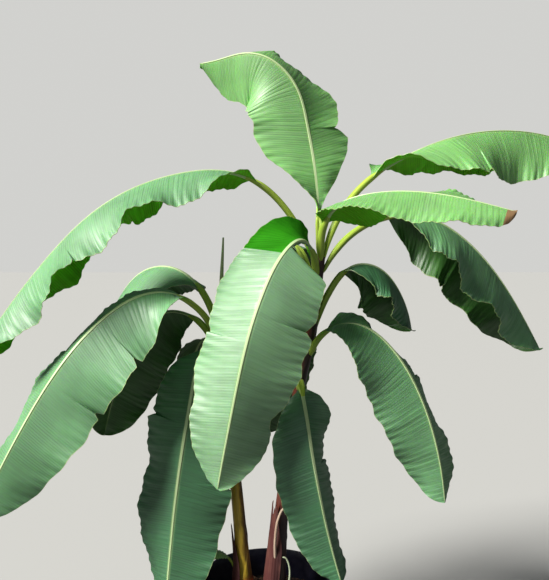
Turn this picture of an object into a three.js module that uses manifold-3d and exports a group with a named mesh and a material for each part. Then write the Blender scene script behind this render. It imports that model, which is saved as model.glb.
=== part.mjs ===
// Banana plant in a nursery pot: two slim stems from one root, their leaves, and a filled pot.
// Millimetres, +Z up, origin under the middle of the pot. +X is to the right and +Y is away
// from whoever looks at the plant.
import * as THREE from 'three';
import { mergeVertices } from 'three/addons/utils/BufferGeometryUtils.js';
import Module from 'manifold-3d';

const wasm = await Module();
wasm.setup();

// Driving sizes of the pot and what fills it
const POT_HEIGHT = 380;
const RIM_RADIUS = 225;
const FOOT_RADIUS = 178;
const POT_WALL = 4;
const POT_FLOOR = 6;
const LIP_HEIGHT = 30;
const LIP_OUT = 8;
const LIP_EASE = 3;
const LIP_SLOPE_FROM = 344;
const POT_SIDES = 40;
const DRAIN_HOLES = 6;
const DRAIN_SIZE = [64, 40, 28];
const DRAIN_FOOT = 4;
const SOIL_TOP = 300;
const SOIL_EDGE = 290;
const SOIL_FLAT_RADIUS = 130;

// What is left free between neighbours
const GAP = 0.3;
const CLEARANCE = GAP + 0.05;

// Stems: the middle line from the soil to the crown, and the radius at even steps up it
const STEMS = {
  main: {
    line: [
      [15, 0, SOIL_TOP + GAP], [28, 0, 450], [50, 0, 670], [97, 0, 1010], [134, 0, 1190], [163, 4, 1425],
    ],
    radius: [36, 30, 22, 20, 19, 17, 15],
  },
  left: {
    line: [[-78, 0, SOIL_TOP + GAP], [-84, 0, 450], [-100, 2, 655], [-128, 4, 920], [-145, 4, 1150]],
    radius: [40, 27, 21, 20, 19, 17, 14],
  },
};
const STEM_SIDES = 12;
const STEM_STEPS = 9;

// The rolled new leaf that stands on the left crown
const SPEAR = {
  line: [[-145, 4, 1150 + GAP], [-147, 6, 1300], [-139, 10, 1482]],
  radius: [8, 9, 6, 2.5],
};

// Dead sheaths that wrap part of a stem: heights, the way they face and how far they wrap
const SHEATHS = [
  { name: 'dry_sheath_main', stem: 'main', from: 330, to: 640, facing: 205, wrap: 170, flare: 9 },
  { name: 'dry_sheath_left', stem: 'left', from: 315, to: 560, facing: 190, wrap: 130, flare: 7 },
];
const SHEATH_THICK = 3.5;
const SHEATH_SUNK = 1.5;
const SHEATH_TAPER_FROM = 0.45;
const SHEATH_TAPER_TO = 0.45;
const SHEATH_CELLS = [6, 6];

// A dead leaf stalk that curls over in front of the main stem
const DRY_STALK = {
  line: [[24, -18, 420], [22, -42, 520], [30, -46, 590], [48, -46, 630], [66, -46, 634], [76, -44, 612]],
  radius: 4,
  steps: 14,
};

// Leaf make-up, shared by every leaf.
// The petiole: its radius, how slim it starts at the stem, and what is left of it at the tip
const PETIOLE_RADIUS = 12;
const PETIOLE_START = 0.55;
const PETIOLE_SWELL = 0.4;
const PETIOLE_LEFT = 0.25;
const PETIOLE_SKIN = 1.2;
// The rib under the blade: half its width, its depth, and its depth beside the middle
const RIB_HALF = 8;
const RIB_DEPTH = 9;
const RIB_SLOPE = 0.4;
// The blade: where it is widest, how far from its base it has opened, how full its curves are,
// its least half width and thickness, and its thickness as a share of its length
const WIDEST = 0.42;
const OPENED_BY = 0.08;
const SHOULDER = 0.9;
const BLUNT = 2.4;
const LATE_OPENING = 0.06;
const NARROWEST = 4;
const THINNEST = 6;
const THICK_SHARE = 0.01;
// The faces: across each half, down the petiole, and how much closer they lie at both ends
const COLUMNS = 3;
const MIDDLE_COLUMN = 0.52;
const STATIONS_PETIOLE = 4;
const CLOSER_AT_ENDS = 0.11;
const RIB_SAMPLES = 120;
// The number that a box gives to the faces of its underside
const UNDERSIDE = 5;

// Leaves. Each rib is followed from the stem: its pitch above level and its heading from +X
// towards +Y, both in degrees, are given at even steps from the stem to the tip. So are the
// roll of the blade about the rib and the fold of its halves: up is more than 0, hanging is
// less. The left half is the one on the left of somebody who walks along the rib. A wave is
// its height, how many there are, and where it starts on the left and the right margin.
// slimRight makes the right half narrower, leftFrom is where a late left half begins, and bend
// is where a leaf is made in two pieces.
const LEAVES = [
  {
    name: 'leaf_top', stem: 'main', side: 90, out: 4, height: 1410, length: 970, petiole: 110,
    width: 345, pitch: [84, 76, 72, 76, 40, -5, 0], heading: [95, 103, 115, 160, 175, 145, 140],
    roll: [-5, -12, -15, -45, -55, -55, -55], foldLeft: [30, 30, 5, -25, -35, -45, -60],
    foldRight: [10, 0, -5, -15, -35, -50, -65], wave: [14, 2.5, 0.1, 0.3], stations: 15,
    shoulder: 2.4, blunt: 5, slimRight: 0.85,
  },
  {
    name: 'leaf_left_long', stem: 'main', side: 185, out: 12, height: 1400, length: 1380, petiole: 290,
    width: 330, pitch: [68, 47, 0, -23, -44, -52, -56], heading: [190, 188, 187, 187, 187, 186, 186],
    roll: [0, 0, 0, 0, 0, 0, 0], foldLeft: [20, 10, -22, -25, -27, -33, -40],
    foldRight: [20, 10, -24, -26, -28, -34, -36], wave: [28, 3.4, 0.93, 0.42], stations: 16, bend: 0.42,
  },
  {
    name: 'leaf_right_far', stem: 'main', side: 45, out: 12, height: 1402, length: 1180, petiole: 330,
    width: 360, pitch: [70, 50, 30, 20, 6, -10, -34], heading: [50, 33, 25, 16, 12, 8, 5],
    roll: [0, 0, 0, 0, 0, 0, 0], foldLeft: [20, 20, 10, -35, -42, -42, -38],
    foldRight: [20, 20, 12, -25, -58, -70, -64], wave: [24, 2.6, 0.3, 0.1], stations: 15, blunt: 3.4,
  },
  {
    name: 'leaf_right_near', stem: 'main', side: 285, out: 12, height: 1408, length: 735, petiole: 120,
    width: 290, pitch: [78, 58, 20, 4, -6, -13, -16], heading: [250, 300, 325, 330, 333, 338, 345],
    roll: [0, 0, 0, 0, 0, 0, 0], foldLeft: [20, -20, -45, -12, 0, 0, -5],
    foldRight: [20, 5, -8, -20, -28, -32, -34], wave: [10, 2.5, 0.6, 0.3], stations: 14,
  },
  {
    name: 'leaf_front', stem: 'main', side: 235, out: 12, height: 1352, length: 1000, petiole: 60,
    width: 360, pitch: [80, 36, -22, -56, -68, -75, -78, -79, -80],
    heading: [262, 245, 236, 222, 214, 210, 202, 190, 180],
    roll: [0, 0, 0, -25, -42, -55, -70, -82, -90],
    foldLeft: [20, -20, -35, -30, -20, -22, -22, -24, -25],
    foldRight: [20, 62, 8, -12, -28, -30, -30, -28, -25], wave: [12, 3, 0.3, 0.75], stations: 18,
    leftFrom: 0.25, slimRight: 0.9, shoulder: 1.1,
  },
  {
    name: 'leaf_right_arch', stem: 'main', side: 15, out: 12, height: 1368, length: 1060, petiole: 290,
    width: 360, pitch: [62, 32, 2, -30, -48, -58, -62], heading: [26, 24, 18, 12, 8, 4, 0],
    roll: [0, 0, -5, -8, -8, -5, 0], foldLeft: [20, 10, -60, -80, -80, -75, -60],
    foldRight: [20, 10, -25, -45, -50, -45, -40], wave: [24, 3, 0.6, 0.2], stations: 15, bend: 0.44,
  },
  {
    name: 'leaf_right_small', stem: 'main', side: 25, out: 12, height: 1180, length: 600, petiole: 210,
    width: 285, pitch: [78, 62, 47, -4, -46, -66, -80], heading: [32, 26, 22, 20, 16, 12, 12],
    roll: [0, 0, -5, -8, -8, -5, 0], foldLeft: [20, 10, -50, -75, -75, -70, -60],
    foldRight: [20, 10, -20, -38, -40, -35, -30], wave: [16, 2, 0.6, 0.2], stations: 12,
  },
  {
    name: 'leaf_right_low', stem: 'main', side: 330, out: 12, height: 1105, length: 850, petiole: 90,
    width: 292, pitch: [74, 24, -34, -58, -70, -78, -84], heading: [333, 335, 339, 343, 350, 360, 372],
    roll: [0, 5, 25, 45, 60, 75, 85], foldLeft: [20, 10, -40, -52, -52, -48, -40],
    foldRight: [20, 10, -10, -12, -15, -20, -25], wave: [12, 2.5, 0.1, 0.5], stations: 14,
    shoulder: 0.7,
  },
  {
    name: 'leaf_front_low', stem: 'main', side: 290, out: 12, height: 990, length: 720, petiole: 110,
    width: 240, pitch: [80, -35, -72, -77, -78, -76, -74], heading: [268, 278, 300, 322, 344, 356, 366],
    roll: [0, 10, 25, 45, 65, 80, 90], foldLeft: [20, 10, -40, -58, -60, -58, -50],
    foldRight: [20, 10, -10, -10, -12, -18, -25], wave: [10, 2, 0.1, 0.5], stations: 12,
  },
  {
    name: 'leaf_left_mid', stem: 'left', side: 205, out: 10, height: 1130, length: 1170, petiole: 180,
    width: 372, pitch: [76, 34, -26, -48, -58, -62, -64], heading: [220, 205, 199, 196, 193, 190, 184],
    roll: [0, -10, -42, -52, -58, -64, -70], foldLeft: [20, 10, -10, -12, -14, -18, -20],
    foldRight: [20, 10, -45, -50, -50, -48, -40], wave: [14, 3, 0.1, 0.5], stations: 15, bend: 0.36,
  },
  {
    name: 'leaf_left_dark', stem: 'left', side: 155, out: 10, height: 1090, length: 780, petiole: 150,
    width: 290, pitch: [76, 42, -6, -52, -68, -73, -77], heading: [160, 152, 156, 164, 174, 182, 190],
    roll: [0, 5, 20, 40, 55, 65, 70], foldLeft: [20, 10, -20, -25, -25, -25, -25],
    foldRight: [20, 10, -20, -25, -25, -25, -25], wave: [12, 2.5, 0.1, 0.5], stations: 14,
  },
  {
    name: 'leaf_front_left', stem: 'left', side: 238, out: 10, height: 1038, length: 990, petiole: 140,
    width: 340, pitch: [82, 70, -52, -77, -79, -80, -81, -82, -83, -84, -84, -85, -85],
    heading: [240, 212, 200, 194, 190, 185, 178],
    roll: [0, -10, -30, -44, -50, -54, -58, -62, -66, -68, -70, -72, -74],
    foldLeft: [20, 0, -35, -28, -20, -20, -20], foldRight: [20, 10, -18, -24, -26, -28, -30],
    wave: [12, 2.5, 0.1, 0.5], stations: 14,
  },
  {
    name: 'leaf_left_back', stem: 'left', side: 125, out: 10, height: 1130, length: 900, petiole: 200,
    width: 340, pitch: [78, 52, 22, -10, -42, -62, -70], heading: [128, 132, 137, 142, 143, 145, 145],
    roll: [0, 0, 0, 0, 0, 0, 0], foldLeft: [20, 10, -30, -35, -35, -30, -30],
    foldRight: [20, 10, -30, -35, -35, -30, -30], wave: [12, 2.5, 0.1, 0.5], stations: 14, bend: 0.48,
  },
  {
    name: 'leaf_back_high', stem: 'main', side: 110, out: 12, height: 1290, length: 980, petiole: 190,
    width: 350, pitch: [70, 32, -8, -42, -58, -66, -70], heading: [110, 108, 106, 106, 106, 106, 106],
    roll: [0, 0, 0, 0, 0, 0, 0], foldLeft: [20, 10, -30, -35, -35, -30, -30],
    foldRight: [20, 10, -30, -35, -35, -30, -30], wave: [14, 3, 0.1, 0.5], stations: 14, bend: 0.42,
  },
  {
    name: 'leaf_back_low', stem: 'main', side: 100, out: 12, height: 1060, length: 860, petiole: 170,
    width: 320, pitch: [76, 34, -16, -50, -66, -74, -78], heading: [104, 104, 104, 106, 108, 110, 112],
    roll: [0, 0, 0, 0, 0, 0, 0], foldLeft: [20, 10, -30, -35, -35, -30, -30],
    foldRight: [20, 10, -30, -35, -35, -30, -30], wave: [12, 2.5, 0.1, 0.5], stations: 12,
  },
  {
    name: 'leaf_back_left', stem: 'left', side: 112, out: 10, height: 1010, length: 820, petiole: 160,
    width: 310, pitch: [76, 30, -20, -52, -68, -75, -80], heading: [114, 114, 113, 112, 112, 112, 112],
    roll: [0, 0, 0, 0, 0, 0, 0], foldLeft: [20, 10, -30, -35, -35, -30, -30],
    foldRight: [20, 10, -30, -35, -35, -30, -30], wave: [12, 2.5, 0.1, 0.5], stations: 12,
  },
  {
    name: 'sucker_leaf', stem: 'left', side: 175, out: 20, height: 370, length: 190, petiole: 80,
    width: 46, pitch: [84, 70, 40, -10, -30], heading: [170, 180, 190, 195, 198],
    roll: [0, 0, -10, -20, -20], foldLeft: [20, 10, -10, -10, -10], foldRight: [20, 10, -10, -10, -10],
    wave: [2, 1, 0.1, 0.5], stations: 10, stalk: 5,
  },
];

// Finishes
const finish = (color, roughness) => new THREE.MeshStandardMaterial({
  color, roughness, metalness: 0, flatShading: true,
});
const LEAF_FINISH = finish(0x5f9a5c, 0.45);
const SPEAR_FINISH = finish(0xc9d7a6, 0.5);
const MAIN_STEM_FINISH = finish(0x4d3a34, 0.6);
const LEFT_STEM_FINISH = finish(0x9a8a45, 0.6);
const DRY_FINISH = finish(0x9c6a43, 0.85);
const POT_FINISH = finish(0x1b1c1e, 0.55);
const SOIL_FINISH = finish(0x3a2a20, 0.95);

const degrees = Math.PI / 180;

// The value at t, from 0 to 1, on a smooth curve through evenly spaced values.
function along(values, t) {
  const last = values.length - 1;
  const i = Math.min(Math.floor(t * last), last - 1);
  const f = t * last - i;
  const at = (k) => values[Math.max(0, Math.min(last, k))];
  const [a, b, c, d] = [at(i - 1), at(i), at(i + 1), at(i + 2)];
  return b + 0.5 * f * (c - a + f * (2 * a - 5 * b + 4 * c - d + f * (3 * (b - c) + d - a)));
}

const mix = (a, b, t) => a + (b - a) * t;
const ease = (t) => {
  const s = Math.max(0, Math.min(1, t));
  return s * s * (3 - 2 * s);
};

// A closed geometry with its corners shared, ready to be joined or cut.
function closed(geometry) {
  geometry.deleteAttribute('normal');
  geometry.deleteAttribute('uv');
  return mergeVertices(geometry, 1e-4);
}

function toSolid(geometry) {
  const shape = closed(geometry);
  return new wasm.Manifold(new wasm.Mesh({
    numProp: 3,
    vertProperties: new Float32Array(shape.attributes.position.array),
    triVerts: new Uint32Array(shape.index.array),
  }));
}

function toGeometry(solid) {
  const { vertProperties, triVerts } = solid.getMesh();
  const geometry = new THREE.BufferGeometry();
  geometry.setAttribute('position', new THREE.BufferAttribute(vertProperties, 3));
  geometry.setIndex(new THREE.BufferAttribute(triVerts, 1));
  return geometry;
}

// A round stem: a cylinder bent along its middle line, grown by extra all round.
function stemGeometry({ line, radius }, extra = 0) {
  const curve = new THREE.CatmullRomCurve3(line.map((p) => new THREE.Vector3(...p)));
  const geometry = new THREE.CylinderGeometry(1, 1, 1, STEM_SIDES, STEM_STEPS);
  geometry.rotateX(Math.PI / 2);
  const place = geometry.attributes.position;
  for (let k = 0; k < place.count; k += 1) {
    const t = place.getZ(k) + 0.5;
    const middle = curve.getPoint(t);
    const reach = along(radius, t) + extra;
    const end = (t - 0.5) * 2 * extra;
    place.setXYZ(k, middle.x + reach * place.getX(k), middle.y + reach * place.getY(k), middle.z + end);
  }
  return geometry;
}

// The middle of a stem at a height above the floor.
function stemMiddle({ line }, height) {
  const curve = new THREE.CatmullRomCurve3(line.map((p) => new THREE.Vector3(...p)));
  let [low, high] = [0, 1];
  for (let k = 0; k < 30; k += 1) {
    const half = (low + high) / 2;
    if (curve.getPoint(half).z < height) low = half;
    else high = half;
  }
  return curve.getPoint(low);
}

// Points and directions down the rib of a leaf.
function ribOf(leaf) {
  const start = stemMiddle(STEMS[leaf.stem], leaf.height);
  start.x += leaf.out * Math.cos(leaf.side * degrees);
  start.y += leaf.out * Math.sin(leaf.side * degrees);
  const points = [start];
  const step = leaf.length / RIB_SAMPLES;
  for (let k = 0; k < RIB_SAMPLES; k += 1) {
    points.push(points[k].clone().addScaledVector(directionAt(leaf, (k + 0.5) / RIB_SAMPLES), step));
  }
  return points;
}

function directionAt(leaf, t) {
  const pitch = along(leaf.pitch, t) * degrees;
  const heading = along(leaf.heading, t) * degrees;
  return new THREE.Vector3(
    Math.cos(pitch) * Math.cos(heading),
    Math.cos(pitch) * Math.sin(heading),
    Math.sin(pitch),
  );
}

// Half the width of a blade, at b from its base, 0, to its tip, 1.
function bladeHalf({ width, shoulder = SHOULDER, blunt = BLUNT }, b) {
  const away = b < WIDEST ? (WIDEST - b) / WIDEST : (b - WIDEST) / (1 - WIDEST);
  const first = Math.max(0, 1 - away ** BLUNT) ** shoulder;
  const last = Math.sqrt(Math.max(0, 1 - away ** blunt));
  return (width / 2) * (b < WIDEST ? first : last);
}

// A leaf, or its rows of faces between two numbers: a box of many faces, bent along the rib.
// Its length runs from the stem to the tip, its width across both halves, and its depth from
// the underside to the top.
function leafGeometry(leaf, extra = 0, first = 0, last = rowsOf(leaf)) {
  const points = ribOf(leaf);
  const columns = 2 * COLUMNS;
  const rows = last - first;
  const share = leaf.petiole / leaf.length;
  const thick = Math.max(leaf.length * THICK_SHARE, THINNEST);
  const geometry = new THREE.BoxGeometry(1, 1, 1, rows, columns, 1);
  const place = geometry.attributes.position;
  for (let k = 0; k < place.count; k += 1) {
    const row = first + Math.round((place.getX(k) + 0.5) * rows);
    const column = Math.round(place.getY(k) * columns);
    const top = place.getZ(k) > 0;
    const t = rowAt(row, leaf.stations, share);
    const point = leafPoint(leaf, points, t, column, top, thick, extra);
    let end = 0;
    if (row === first) end = (first > 0 ? GAP / 2 : 0) - extra;
    if (row === last) end = extra - (last < rowsOf(leaf) ? GAP / 2 : 0);
    point.addScaledVector(directionAt(leaf, t), end);
    place.setXYZ(k, point.x, point.y, point.z);
  }
  turnDiagonals(geometry, UNDERSIDE);
  return geometry;
}

// Splits the squares of one side of a box along their other diagonal, so that the two sides of
// a thin twisted sheet bend the same way and don't run through each other.
function turnDiagonals(geometry, side) {
  const { index, groups } = geometry;
  const { start, count } = groups[side];
  for (let k = start; k < start + count; k += 6) {
    const [a, b, d] = [index.getX(k), index.getX(k + 1), index.getX(k + 2)];
    const c = index.getX(k + 4);
    [a, b, c, a, c, d].forEach((corner, j) => index.setX(k + j, corner));
  }
}

const rowsOf = (leaf) => STATIONS_PETIOLE + leaf.stations;

// The row of faces nearest to where a leaf bends.
function bendRow(leaf) {
  const share = leaf.petiole / leaf.length;
  let row = STATIONS_PETIOLE + 1;
  while (rowAt(row, leaf.stations, share) < leaf.bend) row += 1;
  return row;
}

// How far down the rib a row of faces lies: the rows are closer at both ends of the blade.
function rowAt(row, stations, share) {
  if (row < STATIONS_PETIOLE) return (share * row) / STATIONS_PETIOLE;
  const s = (row - STATIONS_PETIOLE) / stations;
  return share + (1 - share) * (s - CLOSER_AT_ENDS * Math.sin(2 * Math.PI * s));
}

function leafPoint(leaf, points, t, column, top, thick, extra) {
  const share = leaf.petiole / leaf.length;
  const b = Math.max(0, (t - share) / (1 - share));
  const opened = t > share ? ease((t - share) / (1 - share) / OPENED_BY) : 0;
  const across = Math.abs(column) / COLUMNS;
  const hand = Math.sign(column);

  // Frame of the rib
  const forward = directionAt(leaf, Math.min(1, t));
  const heading = along(leaf.heading, t) * degrees;
  const flat = new THREE.Vector3(-Math.sin(heading), Math.cos(heading), 0);
  const up = new THREE.Vector3().crossVectors(forward, flat);
  const roll = along(leaf.roll, t) * degrees;
  const side = flat.clone().multiplyScalar(Math.cos(roll)).addScaledVector(up, Math.sin(roll));
  const face = up.clone().multiplyScalar(Math.cos(roll)).addScaledVector(flat, -Math.sin(roll));

  // Distance out from the rib, and the angle that the half stands at there
  const swell = mix(PETIOLE_START, 1, ease(t / share / PETIOLE_SWELL));
  const petiole = (leaf.stalk ?? PETIOLE_RADIUS) * swell * mix(1, PETIOLE_LEFT, b);
  const slim = hand < 0 ? leaf.slimRight ?? 1 : 1;
  const whole = leaf.leftFrom && hand > 0 ? ease((t - leaf.leftFrom) / LATE_OPENING) : 1;
  const half = Math.max(bladeHalf(leaf, b) * slim * whole, NARROWEST);
  const inPetiole = petiole * Math.sin((across * Math.PI) / 2);
  const reaches = [0, RIB_HALF * mix(1, RIB_SLOPE, b), mix(RIB_HALF, half, MIDDLE_COLUMN), half];
  const inBlade = reaches[Math.abs(column)];
  const reach = mix(inPetiole, Math.max(inBlade, inPetiole), opened) + extra * across;
  const fold = along(hand > 0 ? leaf.foldLeft : leaf.foldRight, t) * degrees * opened;
  const [height, count, startLeft, startRight] = leaf.wave;
  const turns = count * b + (hand > 0 ? startLeft : startRight);
  const waving = height * opened * across * across * Math.sin(2 * Math.PI * turns);

  // Depth of the section there
  const depthPetiole = petiole * Math.cos((across * Math.PI) / 2) + PETIOLE_SKIN;
  const rib = Math.abs(column) < 2 ? mix(RIB_DEPTH, 0, b) : 0;
  const depthBlade = thick / 2 + (top ? 0 : rib * (column === 0 ? 1 : RIB_SLOPE));
  const depth = mix(depthPetiole, depthBlade, opened) + extra;

  // The skin lies more to the outside of the fold, so that the halves stay clear of each other
  const folded = (along(leaf.foldLeft, t) + along(leaf.foldRight, t)) * 0.5 * degrees * opened;
  const shift = -Math.sin(folded) * (thick / 2);

  const between = (along(leaf.foldLeft, t) - along(leaf.foldRight, t)) * 0.5 * degrees * opened;
  const lean = column === 0 ? between : fold * hand;
  const outward = side.clone().multiplyScalar(hand * Math.cos(fold)).addScaledVector(face, Math.sin(fold));
  const normal = face.clone().multiplyScalar(Math.cos(lean)).addScaledVector(side, -Math.sin(lean));
  const sample = t * RIB_SAMPLES;
  const at = Math.min(Math.floor(sample), RIB_SAMPLES - 1);
  const point = points[at].clone().lerp(points[at + 1], sample - at);
  return point
    .addScaledVector(outward, reach)
    .addScaledVector(normal, waving + shift + (top ? depth : -depth));
}

// A dead sheath: a thin box wrapped round a stem, its top edge flaring away.
function sheathGeometry({ stem, from, to, facing, wrap, flare }, extra = 0) {
  const geometry = new THREE.BoxGeometry(1, 1, 1, SHEATH_CELLS[0], SHEATH_CELLS[1], 1);
  const place = geometry.attributes.position;
  const { line, radius } = STEMS[stem];
  for (let k = 0; k < place.count; k += 1) {
    const rise = place.getY(k) + 0.5;
    const taper = mix(1, SHEATH_TAPER_TO, ease((rise - SHEATH_TAPER_FROM) / (1 - SHEATH_TAPER_FROM)));
    const turn = (facing + place.getX(k) * wrap * taper) * degrees;
    const height = mix(from - extra, to + extra, rise);
    const middle = stemMiddle({ line }, height);
    const t = (height - line[0][2]) / (line.at(-1)[2] - line[0][2]);
    const layer = place.getZ(k) > 0 ? SHEATH_THICK + extra : -SHEATH_SUNK - extra;
    const reach = along(radius, t) + layer + flare * rise ** 3;
    place.setXYZ(k, middle.x + reach * Math.cos(turn), middle.y + reach * Math.sin(turn), height);
  }
  turnDiagonals(geometry, UNDERSIDE);
  return geometry;
}

// A dead stalk: a six-sided tube along a curve.
function stalkGeometry({ line, radius, steps }, extra = 0) {
  const path = new THREE.CatmullRomCurve3(line.map((p) => new THREE.Vector3(...p)));
  const corners = [0, 1, 2, 3, 4, 5].map((k) => {
    const turn = (k * Math.PI) / 3;
    return new THREE.Vector2((radius + extra) * Math.cos(turn), (radius + extra) * Math.sin(turn));
  });
  return new THREE.ExtrudeGeometry(new THREE.Shape(corners), { steps, extrudePath: path });
}

// The pot: one turned profile, with holes cut through the foot of its wall.
function potSolid() {
  const profile = [
    [0, 0], [FOOT_RADIUS, 0],
    [RIM_RADIUS - LIP_OUT, POT_HEIGHT - LIP_HEIGHT], [RIM_RADIUS, POT_HEIGHT - LIP_HEIGHT + LIP_EASE],
    [RIM_RADIUS, POT_HEIGHT - LIP_EASE], [RIM_RADIUS - LIP_EASE, POT_HEIGHT],
    [RIM_RADIUS - LIP_OUT, POT_HEIGHT],
    [innerRadius(LIP_SLOPE_FROM), LIP_SLOPE_FROM],
    [innerRadius(POT_FLOOR), POT_FLOOR], [0, POT_FLOOR],
  ].map(([r, z]) => new THREE.Vector2(r, z));
  let solid = toSolid(turned(profile));
  for (let k = 0; k < DRAIN_HOLES; k += 1) {
    const turn = ((k + 0.5) * 2 * Math.PI) / DRAIN_HOLES;
    const hole = new THREE.BoxGeometry(...DRAIN_SIZE);
    hole.translate(FOOT_RADIUS, 0, POT_FLOOR + DRAIN_SIZE[2] / 2 + DRAIN_FOOT);
    hole.rotateZ(turn);
    solid = solid.subtract(toSolid(hole));
  }
  return solid;
}

// The inside radius of the pot's wall at a height.
function innerRadius(height) {
  return mix(FOOT_RADIUS, RIM_RADIUS - LIP_OUT, height / (POT_HEIGHT - LIP_HEIGHT)) - POT_WALL;
}

// A shape turned about the upright axis, from a profile of radius and height.
function turned(profile) {
  return new THREE.LatheGeometry(profile, POT_SIDES).rotateX(Math.PI / 2);
}

function soilGeometry() {
  const clear = 2 * GAP;
  return turned([
    [0, POT_FLOOR + GAP], [innerRadius(POT_FLOOR) - clear, POT_FLOOR + GAP],
    [innerRadius(SOIL_EDGE) - clear, SOIL_EDGE], [SOIL_FLAT_RADIUS, SOIL_TOP], [0, SOIL_TOP],
  ].map(([r, z]) => new THREE.Vector2(r, z)));
}

const group = new THREE.Group();
group.name = 'banana_plant';

function add(name, geometry, material) {
  const mesh = new THREE.Mesh(geometry, material);
  mesh.name = name;
  group.add(mesh);
}

add('pot', toGeometry(potSolid()), POT_FINISH);
add('soil', closed(soilGeometry()), SOIL_FINISH);
add('stem_main', closed(stemGeometry(STEMS.main)), MAIN_STEM_FINISH);
add('stem_left', closed(stemGeometry(STEMS.left)), LEFT_STEM_FINISH);
add('spear', closed(stemGeometry(SPEAR)), SPEAR_FINISH);

// Everything that grows from a stem is cut clear of it, and of what was placed before it.
const cleared = [...Object.values(STEMS), SPEAR].map((stem) => toSolid(stemGeometry(stem, CLEARANCE)));

function addCut(name, geometry, material) {
  let solid = toSolid(geometry);
  for (const other of cleared) solid = solid.subtract(other);
  const pieces = solid.decompose().sort((a, b) => b.volume() - a.volume());
  add(name, toGeometry(pieces[0]), material);
}

function addClear(name, geometry, grown, material) {
  addCut(name, geometry, material);
  cleared.push(toSolid(grown));
}

// A leaf that bends round a wide space is two nodes, which meet at the bend.
for (const leaf of LEAVES) {
  const grown = leafGeometry(leaf, CLEARANCE);
  if (leaf.bend) {
    addCut(`${leaf.name}_inner`, leafGeometry(leaf, 0, 0, bendRow(leaf)), LEAF_FINISH);
    addClear(`${leaf.name}_outer`, leafGeometry(leaf, 0, bendRow(leaf)), grown, LEAF_FINISH);
  } else {
    addClear(leaf.name, leafGeometry(leaf), grown, LEAF_FINISH);
  }
}
for (const sheath of SHEATHS) {
  addClear(sheath.name, sheathGeometry(sheath), sheathGeometry(sheath, CLEARANCE), DRY_FINISH);
}
addClear('dry_stalk', stalkGeometry(DRY_STALK), stalkGeometry(DRY_STALK, CLEARANCE), DRY_FINISH);

export default group;
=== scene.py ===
# Banana plant in a nursery pot: two slim stems from one root, long arching leaves with a strong
# midrib, dead sheaths round the feet of the stems, and a tapered black pot filled with soil.
# The sizes of the leaves and stems are in millimetres and become metres as a mesh is made.
import math
import random

import bmesh
import bpy
import numpy as np
from mathutils import Euler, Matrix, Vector, noise


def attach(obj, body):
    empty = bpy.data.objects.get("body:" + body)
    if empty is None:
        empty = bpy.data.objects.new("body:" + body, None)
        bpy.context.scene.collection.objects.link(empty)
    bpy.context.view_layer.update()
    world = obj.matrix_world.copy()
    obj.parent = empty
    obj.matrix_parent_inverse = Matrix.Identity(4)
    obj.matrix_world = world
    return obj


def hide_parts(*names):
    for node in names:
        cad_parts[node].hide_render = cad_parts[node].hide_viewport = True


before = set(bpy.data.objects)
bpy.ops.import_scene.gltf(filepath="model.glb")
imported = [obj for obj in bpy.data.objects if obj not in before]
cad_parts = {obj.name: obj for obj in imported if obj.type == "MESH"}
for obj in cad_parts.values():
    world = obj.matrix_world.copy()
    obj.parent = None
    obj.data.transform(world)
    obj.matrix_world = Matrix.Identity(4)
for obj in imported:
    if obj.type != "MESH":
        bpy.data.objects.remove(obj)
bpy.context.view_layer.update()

bl_info = {
    "name": "Banana plant in a nursery pot",
    "version": (1, 0, 0),
    "blender": (4, 5, 0),
    "location": "View3D > Sidebar > Plant",
    "description": "Builds a potted banana plant leaf by leaf, with its stems, pot, soil and studio",
    "category": "Add Mesh",
}

MM = 0.001
TURN = 2 * math.pi

# Finishing: corners nearer than a seam, in metres, are joined, and edges below an angle look round
TUBE_SEAM = 0.00005
POT_SEAM = 0.00002
SMOOTH_BELOW = 50

# Pot and soil, in millimetres
POT_HEIGHT = 380
RIM_RADIUS = 225
FOOT_RADIUS = 178
POT_WALL = 4
POT_FLOOR = 6
LIP_HEIGHT = 30
LIP_OUT = 8
DRAIN_HOLES = 6
DRAIN_SIZE = (64, 40, 28)
DRAIN_ABOVE = 4
DRAIN_ROUND = 6
SOIL_TOP = 300
SOIL_EDGE = 290
SOIL_FLAT_RADIUS = 130
SOIL_CLEAR = 0.8
SOIL_OFF_FLOOR = 0.5
GAP = 0.3

# Soil as a grid: its rings, the shares of them that end its top and its side, and its crumbs
SOIL_RINGS = 130
SOIL_SIDES = 260
SOIL_TOP_TO = 0.8
SOIL_SIDE_TO = 0.9
LUMP_HEIGHT = 4.5
LUMPS_PER_MM = 0.02
CRUMB_HEIGHT = 2.2
CRUMBS_PER_MM = 0.14
SOIL_SETTLED = 3.0
SOIL_SMOOTH_EDGE = 6
CHIPS_SEED = 7
CHIPS_RADIUS = 205
CHIPS_DROP = 7
CHIP_SIZES = ((6, 20), (4, 9), (1.5, 4))
CHIP_LEANS = ((-0.35, 0.35), (-0.35, 0.35), (0, math.pi))
CHIP_WORN = 0.35

# Stems: the middle line from the soil to the crown, and the radius at even steps up it
STEMS = {
    "main": {
        "line": [(15, 0, SOIL_TOP + GAP), (28, 0, 450), (50, 0, 670), (97, 0, 1010), (134, 0, 1190),
                 (163, 4, 1425)],
        "radius": [36, 30, 22, 20, 19, 17, 15],
    },
    "left": {
        "line": [(-78, 0, SOIL_TOP + GAP), (-84, 0, 450), (-100, 2, 655), (-128, 4, 920), (-145, 4, 1150)],
        "radius": [40, 27, 21, 20, 19, 17, 14],
    },
    "spear": {
        "line": [(-145, 4, 1150 + GAP), (-147, 6, 1300), (-139, 10, 1482)],
        "radius": [8, 9, 6, 2.5],
        "step": 1.2,
        "swell": 0,
    },
}
HALVINGS = 30
STEM_ROWS = 220
STEM_SIDES = 72
STEM_SWELL = 0.05
STEM_TWIST = 1.3
STEM_POINTED = 400

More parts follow.
